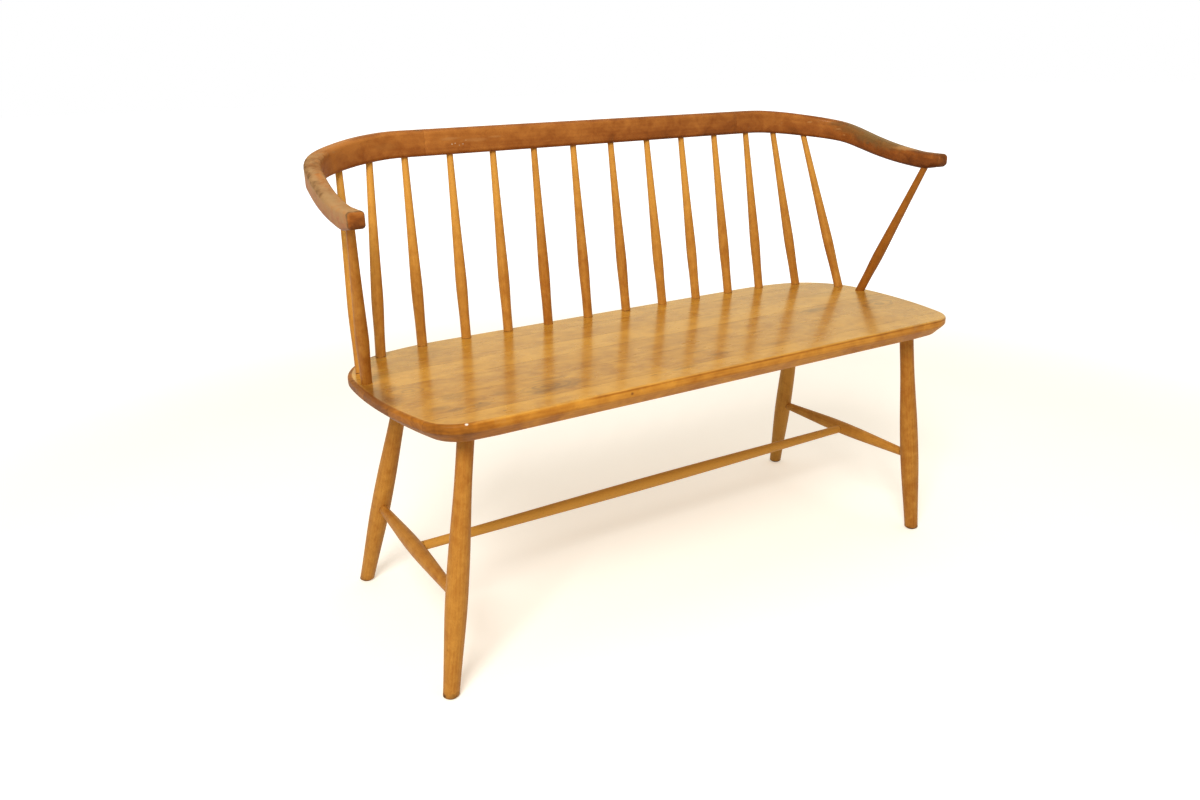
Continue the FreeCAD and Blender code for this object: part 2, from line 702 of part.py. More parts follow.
# Rail. The back is one straight piece, and an arm is joined to each of its ends by a tongue.
def rounded_section(name, along, height, width, height_value, width_value):
    """The rail's section as a sketch, upright across the rail a length along it from the middle."""
    point, heading = rail_plan_point(along)
    share = (along - size("rail_straight_half")) / size("arm_run")
    fall = between(0.0, size("arm_drop"), ARM_SHARES, 1, share)
    if share > ARM_POST_SHARE:
        past = (share - ARM_POST_SHARE) / (1 - ARM_POST_SHARE)
        fall = size("arm_drop") * (1 + (ARM_TIP_DROP_SHARE - 1) * past)
    across = Vector(math.sin(heading), math.cos(heading), 0)
    ahead = Vector(math.cos(heading), -math.sin(heading), 0)
    sketch = doc.addObject("Sketcher::SketchObject", name)
    place = Vector(point.x, point.y, size("rail_middle_height") - fall)
    sketch.Placement = FreeCAD.Placement(place, FreeCAD.Rotation(across, Vector(0, 0, 1), ahead, "XZY"))
    radius = size("rail_round")
    x = width_value / 2
    y = height_value / 2
    corners = [(1, -1, -90), (1, 1, 0), (-1, 1, 90), (-1, -1, 180)]
    starts = [(-x + radius, -y), (x, -y + radius), (x - radius, y), (-x, y - radius)]
    ends = [(x - radius, -y), (x, y - radius), (-x + radius, y), (-x, -y + radius)]
    for (side_x, side_y, angle), begin, end in zip(corners, starts, ends):
        sketch.addGeometry(Part.LineSegment(Vector(*begin, 0), Vector(*end, 0)))
        centre = Vector(side_x * (x - radius), side_y * (y - radius), 0)
        circle = Part.Circle(centre, Vector(0, 0, 1), radius)
        first = math.radians(angle)
        sketch.addGeometry(Part.ArcOfCircle(circle, first, first + math.pi / 2))
    count = sketch.GeometryCount
    for index in range(count):
        sketch.addConstraint(Sketcher.Constraint("Tangent", index, 2, (index + 1) % count, 1))
    bottom, right, top, left = 0, 2, 4, 6
    sketch.addConstraint(Sketcher.Constraint("Symmetric", bottom, 1, bottom, 2, -2))
    sketch.addConstraint(Sketcher.Constraint("Horizontal", top))
    sketch.addConstraint(Sketcher.Constraint("Vertical", right))
    sketch.addConstraint(Sketcher.Constraint("Vertical", left))
    bind(sketch, "DistanceY", (-1, 1, top, 1), y, "half_height", height + " / 2")
    bind(sketch, "DistanceY", (bottom, 1, -1, 1), y, "half_height_below", height + " / 2")
    bind(sketch, "DistanceX", (-1, 1, right, 1), x, "half_width", width + " / 2")
    for index in (1, 3, 5, 7):
        bind(sketch, "Radius", (index,), radius, "round_%d" % index, cell("rail_round"))
    return sketch


def blend(low, high, share):
    """A length between two sizes, as an expression and as a value."""
    expression = "(%s + (%s - %s) * %r)" % (cell(low), cell(high), cell(low), share)
    return expression, size(low) + (size(high) - size(low)) * share


def section_at(name, along, share):
    """The rail's section where a share of the change from the back to the arm is done."""
    height, height_value = blend("rail_back_height", "arm_height", share)
    width, width_value = blend("rail_back_width", "arm_width", share)
    return rounded_section(name, along, height, width, height_value, width_value)


joint = size("rail_joint_half")
tongue_end = joint + size("finger_length")
rail_y = size("rail_back_place")
rail_z = size("rail_middle_height")
tongue_half = size("rail_back_width") * TONGUE_SHARE / 2
rail_clear = size("rail_back_height")

back_loft = doc.addObject("Part::Loft", "rail_back_plain")
right_end = section_at("rail_back_right_section", tongue_end, 0.0)
left_end = section_at("rail_back_left_section", tongue_end, 0.0)
left_end.Placement.Base.x = -tongue_end
back_loft.Sections = [left_end, right_end]
back_loft.Solid = True
back_loft.Ruled = True

shoulders = []
for side, near, far in (("front", rail_y - rail_clear, rail_y - tongue_half),
                        ("rear", rail_y + tongue_half, rail_y + rail_clear)):
    shoulders.append(block("rail_%s_shoulder" % side, Vector(joint, near, rail_z - rail_clear),
                           Vector(tongue_end + size("cut_overrun"), far, rail_z + rail_clear)))
right_shoulders = gathered("rail_right_shoulders", shoulders)
left_shoulders = mirrored(right_shoulders, "rail_left_shoulders")

back_sockets = [socket for socket, along in rail_sockets if along < joint]
arm_sockets = [socket for socket, along in rail_sockets if along > joint]
right_back_sockets = gathered("rail_back_right_sockets", back_sockets)
left_back_sockets = mirrored(right_back_sockets, "rail_back_left_sockets")
back_tool = gathered("rail_back_cuts", [right_shoulders, left_shoulders,
                                        right_back_sockets, left_back_sockets])
keep(cut("rail_back", back_loft, back_tool), "rail_back")

run = size("arm_run")
straight = size("rail_straight_half")
arm_sections = [section_at("arm_section_joint", joint, 0.0)]
for index, (place, fall, change) in enumerate(ARM_SHARES):
    arm_sections.append(section_at("arm_section_%02d" % (index + 1), straight + run * place, change))
tip_section = rounded_section("arm_section_tip", straight + run, cell("arm_tip_height"), cell("arm_width"),
                              size("arm_tip_height"), size("arm_width"))
arm_sections.append(tip_section)
arm_loft = doc.addObject("Part::Loft", "arm_plain")
arm_loft.Sections = arm_sections
arm_loft.Solid = True
doc.recompute()

tip_point, tip_heading = rail_plan_point(straight + run)
tip_edges = []
for index, edge in enumerate(arm_loft.Shape.Edges):
    middle = edge.valueAt((edge.FirstParameter + edge.LastParameter) / 2)
    ahead = Vector(math.cos(tip_heading), -math.sin(tip_heading), 0)
    flat = Vector(middle.x - tip_point.x, middle.y - tip_point.y, 0)
    if abs(flat.dot(ahead)) < size("arm_tip_round") / 10:
        tip_edges.append(index + 1)
arm_round = doc.addObject("Part::Fillet", "arm_rounded")
arm_round.Base = arm_loft
arm_round.Edges = [(index, size("arm_tip_round"), size("arm_tip_round")) for index in tip_edges]
doc.recompute()

slot = block("rail_tongue_slot",
             Vector(joint - size("cut_overrun"), rail_y - tongue_half, rail_z - rail_clear),
             Vector(tongue_end, rail_y + tongue_half, rail_z + rail_clear))
arm_tool = gathered("rail_arm_cuts", [slot] + arm_sockets)
keep_pair(cut("rail_arm_right", arm_round, arm_tool), "rail_arm")


# Checks and export.
doc.recompute()
problems = []
for item in doc.Objects:
    state = [word for word in item.State if word in ("Invalid", "Error")]
    if state:
        problems.append("%s is %s" % (item.Name, ", ".join(state)))
    if hasattr(item, "Shape") and item.Shape.isNull() and not item.isDerivedFrom("App::OriginFeature"):
        problems.append("%s has no shape" % item.Name)
for piece in nodes:
    if piece.Shape.isNull():
        continue
    if not piece.Shape.isValid():
        problems.append("%s has a faulty shape" % piece.Label)
    if len(piece.Shape.Solids) != 1:
        problems.append("%s has %d solids" % (piece.Label, len(piece.Shape.Solids)))
if problems:
    raise RuntimeError("; ".join(problems))

os.makedirs("parts", exist_ok=True)
for piece in nodes:
    piece.Shape.exportStep(os.path.join("parts", piece.Label + ".step"))
print("%d pieces written" % len(nodes))
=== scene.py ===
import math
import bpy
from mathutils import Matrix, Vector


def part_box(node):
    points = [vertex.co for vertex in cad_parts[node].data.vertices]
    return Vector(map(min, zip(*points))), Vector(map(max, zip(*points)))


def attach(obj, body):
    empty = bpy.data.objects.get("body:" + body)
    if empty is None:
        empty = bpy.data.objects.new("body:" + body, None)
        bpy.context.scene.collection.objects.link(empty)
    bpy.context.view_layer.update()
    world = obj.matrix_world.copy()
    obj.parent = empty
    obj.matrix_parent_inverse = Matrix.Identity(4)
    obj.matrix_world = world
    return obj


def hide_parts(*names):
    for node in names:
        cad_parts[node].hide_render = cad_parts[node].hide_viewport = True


bl_info = {
    "name": "Spindle-back bench",
    "version": (1, 0, 0),
    "blender": (4, 5, 0),
    "location": "3D View > Sidebar > Bench",
    "description": "Builds a lacquered spindle-back bench with a bow rail, and the studio round it",
    "category": "Object",
}

import bmesh
import bpy
from bpy.props import FloatProperty, FloatVectorProperty, IntProperty, PointerProperty
from mathutils import Matrix, Vector

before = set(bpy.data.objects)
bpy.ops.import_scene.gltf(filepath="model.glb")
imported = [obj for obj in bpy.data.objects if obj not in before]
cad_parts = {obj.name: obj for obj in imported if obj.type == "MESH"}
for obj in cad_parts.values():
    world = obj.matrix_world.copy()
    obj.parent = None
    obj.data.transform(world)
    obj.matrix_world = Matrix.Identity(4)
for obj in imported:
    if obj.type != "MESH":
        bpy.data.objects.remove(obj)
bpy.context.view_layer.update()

# The frame's own boxes give the places that the pieces share.
BAND_LOW, BAND_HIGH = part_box("seat_board_1")
RAIL_LOW, RAIL_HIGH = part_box("rail_back")
SEAT_TOP = BAND_HIGH[2]
SEAT_UNDER = BAND_LOW[2]
SEAT_FRONT = BAND_LOW[1]
SEAT_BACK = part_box("seat_board_6")[1][1]
RAIL_Y = (RAIL_LOW[1] + RAIL_HIGH[1]) / 2
RAIL_Z = (RAIL_LOW[2] + RAIL_HIGH[2]) / 2
MM = 0.001
SAME_PLACE = 0.01 * MM
CUT_REACH = 0.001 * MM

# Where the axes of the turned pieces pass: seat's top and rail's underside, right half, middle outwards.
SPINDLE_FEET = [
    (0.0415, 0.1562), (0.1245, 0.1562), (0.2045, 0.1562), (0.2845, 0.1562), (0.3645, 0.1562),
    (0.444, 0.1342), (0.498, 0.0652),
]
SPINDLE_ALONG = [0.03905, 0.11715, 0.19525, 0.27335, 0.35145, 0.41445, 0.47745]
POST_FOOT = (0.5055, 0.0137)
POST_ALONG_SHARE = 0.911
POST_OFFSET = 3 * MM
SPINDLE_TENON = 18 * MM
POST_TENON = 14 * MM

# How the turned pieces swell: share of the exposed length, share of the swelling.
SPINDLE_SHARES = [(0.0, 0.0), (0.06, 0.01), (0.115, 0.05), (0.165, 0.3), (0.23, 0.76), (0.28, 0.97),
                  (0.3, 1.0), (0.33, 0.985), (0.4, 0.88), (0.5, 0.69), (0.6, 0.51), (0.7, 0.35),
                  (0.8, 0.21), (0.9, 0.09), (1.0, 0.0)]
LEG_SHARES = [(0.0, 0.0), (0.05, 0.1), (0.117, 0.3), (0.207, 0.61), (0.28, 0.84), (0.34, 0.97),
              (0.385, 1.0), (0.43, 0.985), (0.5, 0.91), (0.57, 0.78), (0.65, 0.53), (0.74, 0.23),
              (0.8, 0.08), (0.86, 0.01), (1.0, 0.0)]
STRETCHER_SHARES = [(0.0, 0.0), (0.05, 0.02), (0.13, 0.22), (0.25, 0.56), (0.37, 0.86), (0.45, 0.98),
                    (0.5, 1.0), (0.55, 0.98), (0.63, 0.86), (0.75, 0.56), (0.87, 0.22), (0.95, 0.02),
                    (1.0, 0.0)]

# Arm of the rail: share of its run from the straight back, share of its fall, share of its thinning.
ARM_SHARES = [
    (0.0, 0.0, 0.0), (0.055, 0.004, 0.0), (0.11, 0.022, 0.0), (0.2, 0.08, 0.03), (0.29, 0.16, 0.1),
    (0.38, 0.25, 0.21), (0.47, 0.36, 0.35), (0.56, 0.53, 0.5), (0.65, 0.705, 0.65), (0.74, 0.845, 0.8),
    (0.83, 0.945, 0.92), (0.911, 1.0, 1.0), (1.0, 0.972, 1.0),
]
ARM_TIP_START_SHARE = 0.911

# Tone of each back spindle, from the left to the right, and how much paler its top is than its foot.
SPINDLE_TONES = [-0.1, -0.07, -0.15, -0.2, -0.09, 0.19, 0.07, 0.08, -0.15, -0.2, -0.11, -0.02, -0.03, -0.04]
SPINDLE_FADE = 0.54

# Each board of the seat: place of its heart along Y and Z, lift of the heart along X, and its tone.
BOARD_HEARTS = [
    (-0.235, 0.3, 0.02, -0.27), (-0.15, 0.365, 0.05, 0.1), (-0.075, 0.52, -0.03, 0.12),
    (0.01, 0.35, 0.06, -0.3), (0.09, 0.495, 0.045, 0.05), (0.15, 0.34, -0.035, -0.2),
]

# Soft brown smudges and small dark flecks on the seat's top, in metres: place, length, width, strength.
SEAT_SMUDGES = [
    (-0.2826, -0.164, 0.062, 0.022, 0.42), (-0.286, -0.17, 0.034, 0.006, 0.55),
    (-0.3115, -0.1767, 0.022, 0.009, 0.5), (-0.2711, -0.1281, 0.036, 0.006, 0.5),
    (-0.4024, -0.1739, 0.02, 0.013, 0.48), (-0.4387, -0.173, 0.018, 0.008, 0.5),
    (-0.4575, -0.155, 0.018, 0.01, 0.42), (-0.5135, -0.043, 0.02, 0.08, 0.75),
    (-0.4918, -0.024, 0.02, 0.03, 0.4), (-0.502, -0.09, 0.016, 0.024, 0.45),
    (-0.355, -0.146, 0.022, 0.013, 0.38), (-0.422, -0.12, 0.026, 0.018, 0.35),
    (-0.08, -0.2, 0.032, 0.0055, 0.5), (0.0099, -0.1713, 0.022, 0.007, 0.6),
    (-0.0116, -0.1421, 0.03, 0.003, 0.4), (0.119, -0.178, 0.034, 0.008, 0.32),
    (0.321, -0.052, 0.03, 0.014, 0.55), (0.452, -0.06, 0.034, 0.006, 0.4),
    (0.15, 0.02, 0.04, 0.012, 0.25), (0.485, -0.02, 0.02, 0.045, 0.3), (0.42, 0.03, 0.045, 0.018, 0.25),
]
SEAT_FLECKS = [
    (-0.402, -0.167, 0.003, 0.0028, 0.85), (-0.387, -0.214, 0.004, 0.0024, 0.6),
    (-0.246, -0.187, 0.012, 0.002, 0.6), (-0.136, -0.202, 0.009, 0.0024, 0.6),
    (0.421, -0.178, 0.0028, 0.0028, 0.8), (0.464, -0.155, 0.014, 0.0016, 0.45),
]
# Eyes in the seat's figure, where the grain runs round in rings: place, length, width, strength.
SEAT_EYES = [
    (0.456, -0.085, 0.06, 0.032, 0.62), (-0.285, -0.156, 0.046, 0.022, 0.62),
    (0.318, -0.056, 0.05, 0.018, 0.58), (-0.47, -0.06, 0.045, 0.026, 0.38),
]
SMUDGE_BROWN = (0.15, 0.048, 0.008)
FLECK_BROWN = (0.13, 0.04, 0.007)
CHIP_WHITE = (0.86, 0.8, 0.68)
EDGE_TINT = (1.1, 0.99, 1.0)
# A fleck and a chip on the seat's front band, in the same order as the rail's marks.
BAND_MARKS = [
    ((-0.1963, -0.2348, SEAT_TOP - 8 * MM), (0.0034, 0.004, 0.003), FLECK_BROWN, 0.85),
    ((-0.4503, -0.232, SEAT_TOP - 0.3 * MM), (0.0028, 0.0024, 0.0028), CHIP_WHITE, 1.0),
]

# Marks on the rail, in metres: place, reach, colour and strength.
PALE_DING = (0.5, 0.25, 0.085)
SPECK_PALE = (0.72, 0.62, 0.45)
DARK_HANDLING = (0.115, 0.052, 0.017)
GREEN_HANDLING = (0.18, 0.105, 0.034)
RAIL_MARKS = [
    ((-0.2728, 0.1833, 0.7612), (0.0012, 0.005, 0.0011), SPECK_PALE, 0.62),
    ((-0.2672, 0.1833, 0.7622), (0.0009, 0.005, 0.001), SPECK_PALE, 0.55),
    ((-0.26, 0.1833, 0.759), (0.0008, 0.005, 0.0008), SPECK_PALE, 0.45),
    ((-0.2535, 0.1833, 0.7605), (0.0014, 0.005, 0.001), SPECK_PALE, 0.55),
    ((-0.248, 0.1833, 0.766), (0.0008, 0.005, 0.0008), SPECK_PALE, 0.35),
    ((-0.275, 0.1833, 0.77), (0.02, 0.006, 0.003), PALE_DING, 0.28),
    ((-0.23, 0.1833, 0.766), (0.026, 0.006, 0.0035), PALE_DING, 0.22),
    ((-0.195, 0.1833, 0.769), (0.016, 0.006, 0.002), PALE_DING, 0.26),
    ((-0.3291, 0.185, 0.7857), (0.011, 0.006, 0.0016), DARK_HANDLING, 0.8),
    ((-0.385, 0.179, 0.764), (0.03, 0.02, 0.006), DARK_HANDLING, 0.14),
    ((0.4712, 0.1437, 0.7613), (0.006, 0.006, 0.0018), PALE_DING, 0.5),
    ((0.5092, 0.1012, 0.7476), (0.006, 0.007, 0.002), PALE_DING, 0.5),
    ((0.5136, 0.0906, 0.7364), (0.003, 0.0036, 0.0016), PALE_DING, 0.45),
    ((0.507, 0.106, 0.7575), (0.02, 0.02, 0.0055), DARK_HANDLING, 0.6),
    ((0.5215, 0.035, 0.7233), (0.003, 0.0065, 0.0032), DARK_HANDLING, 0.75),
    ((0.526, 0.074, 0.75), (0.032, 0.052, 0.012), GREEN_HANDLING, 0.55),
    ((0.526, 0.03, 0.736), (0.032, 0.05, 0.014), GREEN_HANDLING, 0.75),
    ((0.526, -0.018, 0.723), (0.032, 0.056, 0.012), GREEN_HANDLING, 0.6),
    ((0.532, -0.06, 0.718), (0.014, 0.055, 0.0045), PALE_DING, 0.55),
    ((-0.518, 0.106, 0.762), (0.014, 0.026, 0.012), DARK_HANDLING, 0.34),
    ((-0.532, 0.07, 0.751), (0.014, 0.03, 0.012), DARK_HANDLING, 0.46),
    ((-0.524, 0.084, 0.756), (0.006, 0.011, 0.008), DARK_HANDLING, 0.55),
    ((-0.5465, 0.042, 0.738), (0.008, 0.032, 0.01), DARK_HANDLING, 0.42),
    ((-0.543, 0.013, 0.732), (0.009, 0.021, 0.01), DARK_HANDLING, 0.55),
    ((-0.54, -0.017, 0.725), (0.011, 0.023, 0.008), DARK_HANDLING, 0.48),
    ((-0.544, -0.044, 0.719), (0.012, 0.038, 0.008), GREEN_HANDLING, 0.66),
    ((-0.537, -0.09, 0.713), (0.01, 0.026, 0.006), GREEN_HANDLING, 0.4),
]


def length_property(label, note, size):
    """A property for a length in metres."""
    return FloatProperty(name=label, description=note, default=size, unit="LENGTH")


def angle_property(label, note, degrees):
    """A property for an angle."""
    return FloatProperty(name=label, description=note, default=math.radians(degrees), subtype="ANGLE")


def colour_property(label, note, shade):
    """A property for a colour."""
    return FloatVectorProperty(name=label, description=note, default=shade, size=3, subtype="COLOR",
                               min=0, max=1)


class BenchSizes(bpy.types.PropertyGroup):
    """Sizes of the bench that a user would change."""

    seat_front_half: length_property("Front edge", "Half length of the straight front edge", 0.4395)
    seat_front_radius: length_property("Front corners", "Radius of the seat's front corners", 0.0605)
    seat_front_angle: angle_property("Front turn", "Turn of a front corner", 73.5)
    seat_side_radius: length_property("Seat ends", "Radius of the seat's bowed ends", 0.67)
    seat_side_angle: angle_property("End turn", "Turn of a bowed end", 20.0)
    seat_back_radius: length_property("Back corners", "Radius of the seat's back corners", 0.132)
    seat_back_angle: angle_property("Back turn", "Turn of a back corner", 72.0)
    seat_shoulder_radius: length_property("Back shoulders", "Easing into the back edge", 0.4)
    band_height: length_property("Band", "Upright band of the seat's edge", 0.013)
    bevel_inset: length_property("Bevel", "How far the bevel runs in at the underside", 0.0135)
    spindle_foot: length_property("Spindle foot", "Spindle's diameter at the seat", 0.0168)
    spindle_swell: length_property("Spindle swell", "Spindle's diameter at its thickest", 0.0194)
    spindle_top: length_property("Spindle top", "Spindle's diameter at the rail", 0.011)
    post_top: length_property("Post top", "Arm post's diameter at the arm", 0.012)
    leg_foot: length_property("Leg foot", "Leg's diameter at the floor", 0.025)
    leg_swell: length_property("Leg swell", "Leg's diameter at its thickest", 0.0332)
    leg_top: length_property("Leg top", "Leg's diameter at the seat", 0.0246)
    side_swell: length_property("Side stretcher", "Side stretcher's greatest diameter", 0.025)
    centre_swell: length_property("Centre stretcher", "Centre stretcher's greatest diameter", 0.0215)
    stretcher_end: length_property("Stretcher ends", "Stretchers' diameter at their ends", 0.0155)
    rail_round: length_property("Rail edges", "Round along the rail's long edges", 0.007)
    turned_steps: IntProperty(name="Turned faces", description="Faces round each turned piece",
                              default=40, min=12, max=96)


class BenchColours(bpy.types.PropertyGroup):
    """Colours of the bench's finishes."""

    seat_pale: colour_property("Seat, pale", "Early wood of the seat", (0.565, 0.267, 0.032))
    seat_deep: colour_property("Seat, deep", "Late wood of the seat", (0.348, 0.129, 0.01))
    turned_pale: colour_property("Turned, pale", "Early wood of the turned pieces", (0.585, 0.268, 0.043))
    turned_deep: colour_property("Turned, deep", "Late wood of the turned pieces", (0.335, 0.112, 0.0125))
    rail_pale: colour_property("Rail, pale", "Early wood of the rail", (0.405, 0.143, 0.0255))
    rail_deep: colour_property("Rail, deep", "Late wood of the rail", (0.25, 0.07, 0.0105))
    bare_wood: colour_property("Bare wood", "Wood where the lacquer has worn away", (0.38, 0.215, 0.088))
    grime: colour_property("Grime", "Old dirt in the joints", (0.075, 0.03, 0.01))


class Wiring:
    """A node tree with short ways to add to it. Most of them return the output that is used next."""

    def __init__(self, tree):
        tree.nodes.clear()
        self.tree = tree

    def node(self, kind, **settings):
        """Add a shader node in the next free place, and set its properties."""
        made = self.tree.nodes.new("ShaderNode" + kind)
        made.location = (200 * (len(self.tree.nodes) % 12), -320 * (len(self.tree.nodes) // 12))
        for name, value in settings.items():
            setattr(made, name, value)
        return made

    def feed(self, socket, value):
        """Link an output to a socket, or set the socket's own value."""
        if isinstance(value, bpy.types.NodeSocket):
            self.tree.links.new(value, socket)
        elif isinstance(value, tuple) and len(socket.default_value) == 4:
            socket.default_value = (*value[:3], 1.0)
        else:
            socket.default_value = value

    def fill(self, made, **values):
        """Feed a node's inputs by their names, with _ for each space."""
        for label, value in values.items():
            self.feed(made.inputs[label.replace("_", " ")], value)

    def group(self, name, **values):
        """Place a node group and feed it."""
        made = self.node("Group", node_tree=bpy.data.node_groups[name])
        self.fill(made, **values)
        return made.outputs

    def math(self, operation, first, second=0.0, clamp=False):
        """A Math node. The three after it are its commonest kinds."""
        made = self.node("Math", operation=operation, use_clamp=clamp)
        self.feed(made.inputs[0], first)
        self.feed(made.inputs[1], second)
        return made.outputs[0]

    def times(self, first, second):
        return self.math("MULTIPLY", first, second)

    def plus(self, first, second, clamp=False):
        return self.math("ADD", first, second, clamp)

    def minus(self, first, second, clamp=False):
        return self.math("SUBTRACT", first, second, clamp)

    def vector(self, operation, first, *others):
        """A Vector Math node."""
        made = self.node("VectorMath", operation=operation)
        for socket, value in zip(made.inputs, (first, *others)):
            self.feed(socket, value)
        return made

    def mix(self, factor, first, second, blend="MIX"):
        """A colour Mix node."""
        made = self.node("Mix", data_type="RGBA", blend_type=blend, clamp_factor=True)
        for index, value in ((0, factor), (6, first), (7, second)):
            self.feed(made.inputs[index], value)
        return made.outputs[2]

    def stretched(self, position, stretch):
        """A position, scaled on each axis."""
        made = self.node("Mapping")
        self.fill(made, Vector=position, Scale=stretch)
        return made.outputs[0]

    def noise(self, position, stretch, detail, roughness, swirl=0.0):
        """Noise on a position that is scaled on each axis."""
        made = self.node("TexNoise")
        self.fill(made, Vector=self.stretched(position, stretch), Scale=1.0, Detail=detail,
                  Roughness=roughness, Distortion=swirl)
        return made.outputs["Fac"]

    def remap(self, value, low, high, out_low, out_high):
        """A smooth Map Range node."""
        made = self.node("MapRange", interpolation_type="SMOOTHSTEP", clamp=True)
        for socket, given in zip(made.inputs, (value, low, high, out_low, out_high)):
            self.feed(socket, given)
        return made.outputs["Result"]

    def painted(self, layer, output="Fac"):
        """A layer of the mesh."""
        return self.node("Attribute", attribute_name=layer).outputs[output]

    def bump(self, height, strength, distance):
        """A normal from a height."""
        made = self.node("Bump")
        self.fill(made, Strength=strength, Distance=distance, Height=height)
        return made.outputs[0]


def new_group(name, inputs, outputs):
    """A shader node group with its sockets. Returns its wiring, what comes in and where results go out."""
    tree = bpy.data.node_groups.new(name, "ShaderNodeTree")
    wiring = Wiring(tree)
    for way, sockets in (("INPUT", inputs), ("OUTPUT", outputs)):
        for kind, labels in sockets.items():
            for label in labels:
                tree.interface.new_socket(label, in_out=way, socket_type="NodeSocket" + kind)
    return wiring, tree.nodes.new("NodeGroupInput").outputs, tree.nodes.new("NodeGroupOutput").inputs


def wood_figure_group():
    """Clouds, streaks, soft rings and flecks of a piece of wood whose grain runs along X."""
    strengths = ["Ring strength", "Streak strength", "Cloud strength", "Fleck strength"]
    w, given, result = new_group("Wood figure", {"Vector": ["Position"], "Color": ["Pale", "Deep"],
                                                 "Float": strengths + ["Cloud fineness", "Tone"]},
                                 {"Color": ["Colour"], "Float": ["Height"]})
    position = given["Position"]
    rings = w.node("TexWave", wave_type="RINGS", rings_direction="X", wave_profile="SIN")
    w.fill(rings, Vector=w.stretched(position, (0.1, 1.0, 1.0)), Scale=60.0, Distortion=9.0, Detail=3.0,
           Detail_Scale=0.3, Detail_Roughness=0.5)
    late = w.minus(rings.outputs["Fac"], 0.5)
    streaks = w.noise(position, (5.0, 420.0, 420.0), 3.0, 0.6)
    fine = w.noise(position, (30.0, 1700.0, 1700.0), 2.0, 0.5)
    scaled = w.vector("SCALE", position)
    w.fill(scaled, Scale=given["Cloud fineness"])
    broad = w.noise(scaled.outputs[0], (20.0, 26.0, 26.0), 3.0, 0.6, 0.9)
    cloud = w.noise(scaled.outputs[0], (62.0, 75.0, 75.0), 3.0, 0.62, 0.5)
    fleck = w.noise(position, (230.0, 1500.0, 1500.0), 1.0, 0.4)
    streaks = w.minus(w.plus(streaks, fine), 1.0)
    clouds = w.minus(w.plus(broad, cloud), 1.0)
    total = w.plus(w.times(late, given["Ring strength"]), w.times(streaks, given["Streak strength"]))
    total = w.plus(total, w.times(clouds, given["Cloud strength"]))
    total = w.plus(total, given["Tone"])
    colour = w.mix(w.plus(total, 0.5, clamp=True), given["Pale"], given["Deep"])
    colour = w.mix(w.minus(total, 0.5, clamp=True), colour, (0.42, 0.36, 0.34), "MULTIPLY")
    pores = w.times(w.remap(fleck, 0.6, 0.74, 0.0, 1.0), given["Fleck strength"])
    w.feed(result["Colour"], w.mix(pores, colour, (0.15, 0.05, 0.008)))
    w.feed(result["Height"], w.minus(streaks, pores))


def lacquer_wear_group():
    """Worn arrises, rubbed places, grime in the joints and handling marks over a wood's colour."""
    w, given, result = new_group("Aged lacquer", {"Color": ["Colour", "Bare wood", "Grime colour"],
                                                  "Vector": ["Position"],
                                                  "Float": ["Worn", "Grime", "Gloss"]},
                                 {"Color": ["Colour"], "Float": ["Roughness", "Height"]})
    position = given["Position"]
    blotch = w.noise(position, (75.0, 75.0, 75.0), 4.0, 0.62, 0.6)
    speck = w.noise(position, (310.0, 310.0, 310.0), 2.0, 0.6)
    scratch = w.noise(position, (22.0, 900.0, 300.0), 2.0, 0.6)
    smudge = w.noise(position, (11.0, 15.0, 13.0), 3.0, 0.55)
    patch = w.noise(position, (62.0, 90.0, 90.0), 5.0, 0.66, 0.5)
    rub = w.remap(w.plus(w.times(blotch, 1.8), given["Worn"]), 1.15, 1.85, 0.0, 0.85)
    chip = w.remap(w.times(given["Worn"], speck), 0.6, 0.68, 0.0, 0.8)
    dirt = w.remap(w.plus(w.times(patch, 1.1), given["Grime"]), 0.8, 1.38, 0.0, 0.92)
    colour = w.mix(rub, given["Colour"], given["Bare wood"])
    colour = w.mix(chip, colour, (0.72, 0.55, 0.34))
    w.feed(result["Colour"], w.mix(dirt, colour, given["Grime colour"]))
    rough = w.plus(w.times(smudge, 0.16), given["Gloss"])
    rough = w.plus(rough, w.times(rub, 0.22))
    w.feed(result["Roughness"], w.plus(rough, w.times(dirt, 0.3), clamp=True))
    height = w.plus(w.remap(scratch, 0.66, 0.74, 0.0, -0.5), w.times(smudge, 1.6))
    w.feed(result["Height"], w.minus(height, chip))


def reach_group(name, stretch, roughness, swirl, raggedness):
    """Begin a group for a mark: how many reaches a position lies from a place, with a ragged edge."""
    w, given, result = new_group(name, {"Vector": ["Position", "Place", "Reach"], "Float": ["Strength"]},
                                 {"Float": ["Mask"]})
    away = w.vector("SUBTRACT", given["Position"], given["Place"])
    share = w.vector("DIVIDE", away.outputs[0], given["Reach"])
    length = w.vector("LENGTH", share.outputs[0])
    ragged = w.times(w.noise(given["Position"], stretch, 3.0, roughness, swirl), raggedness)
    return w, given, result, w.plus(length.outputs["Value"], ragged)


def mark_group():
    """A soft, slightly ragged oval mark round a place."""
    w, given, result, reach = reach_group("Oval mark", (75.0, 115.0, 115.0), 0.5, 0.0, 0.8)
    w.feed(result["Mask"], w.times(w.remap(reach, 0.75, 1.55, 1.0, 0.0), given["Strength"]))


def grain_eye_group():
    """Fine dark rings round a place, fading outwards, as round a knot or where a board cuts its heart."""
    w, given, result, reach = reach_group("Grain eye", (16.0, 34.0, 34.0), 0.55, 0.4, 1.3)
    lines = w.remap(w.math("SINE", w.times(reach, 17.0)), 0.0, 0.95, 0.0, 1.0)
    mask = w.times(lines, w.remap(reach, 0.95, 2.1, 1.0, 0.0))
    w.feed(result["Mask"], w.times(mask, given["Strength"]))


def new_material(name):
    """A material with no nodes but its output. Returns it, its wiring and the output's surface."""
    material = bpy.data.materials.new(name)
    material.use_nodes = True
    w = Wiring(material.node_tree)
    return material, w, w.node("OutputMaterial").inputs["Surface"]


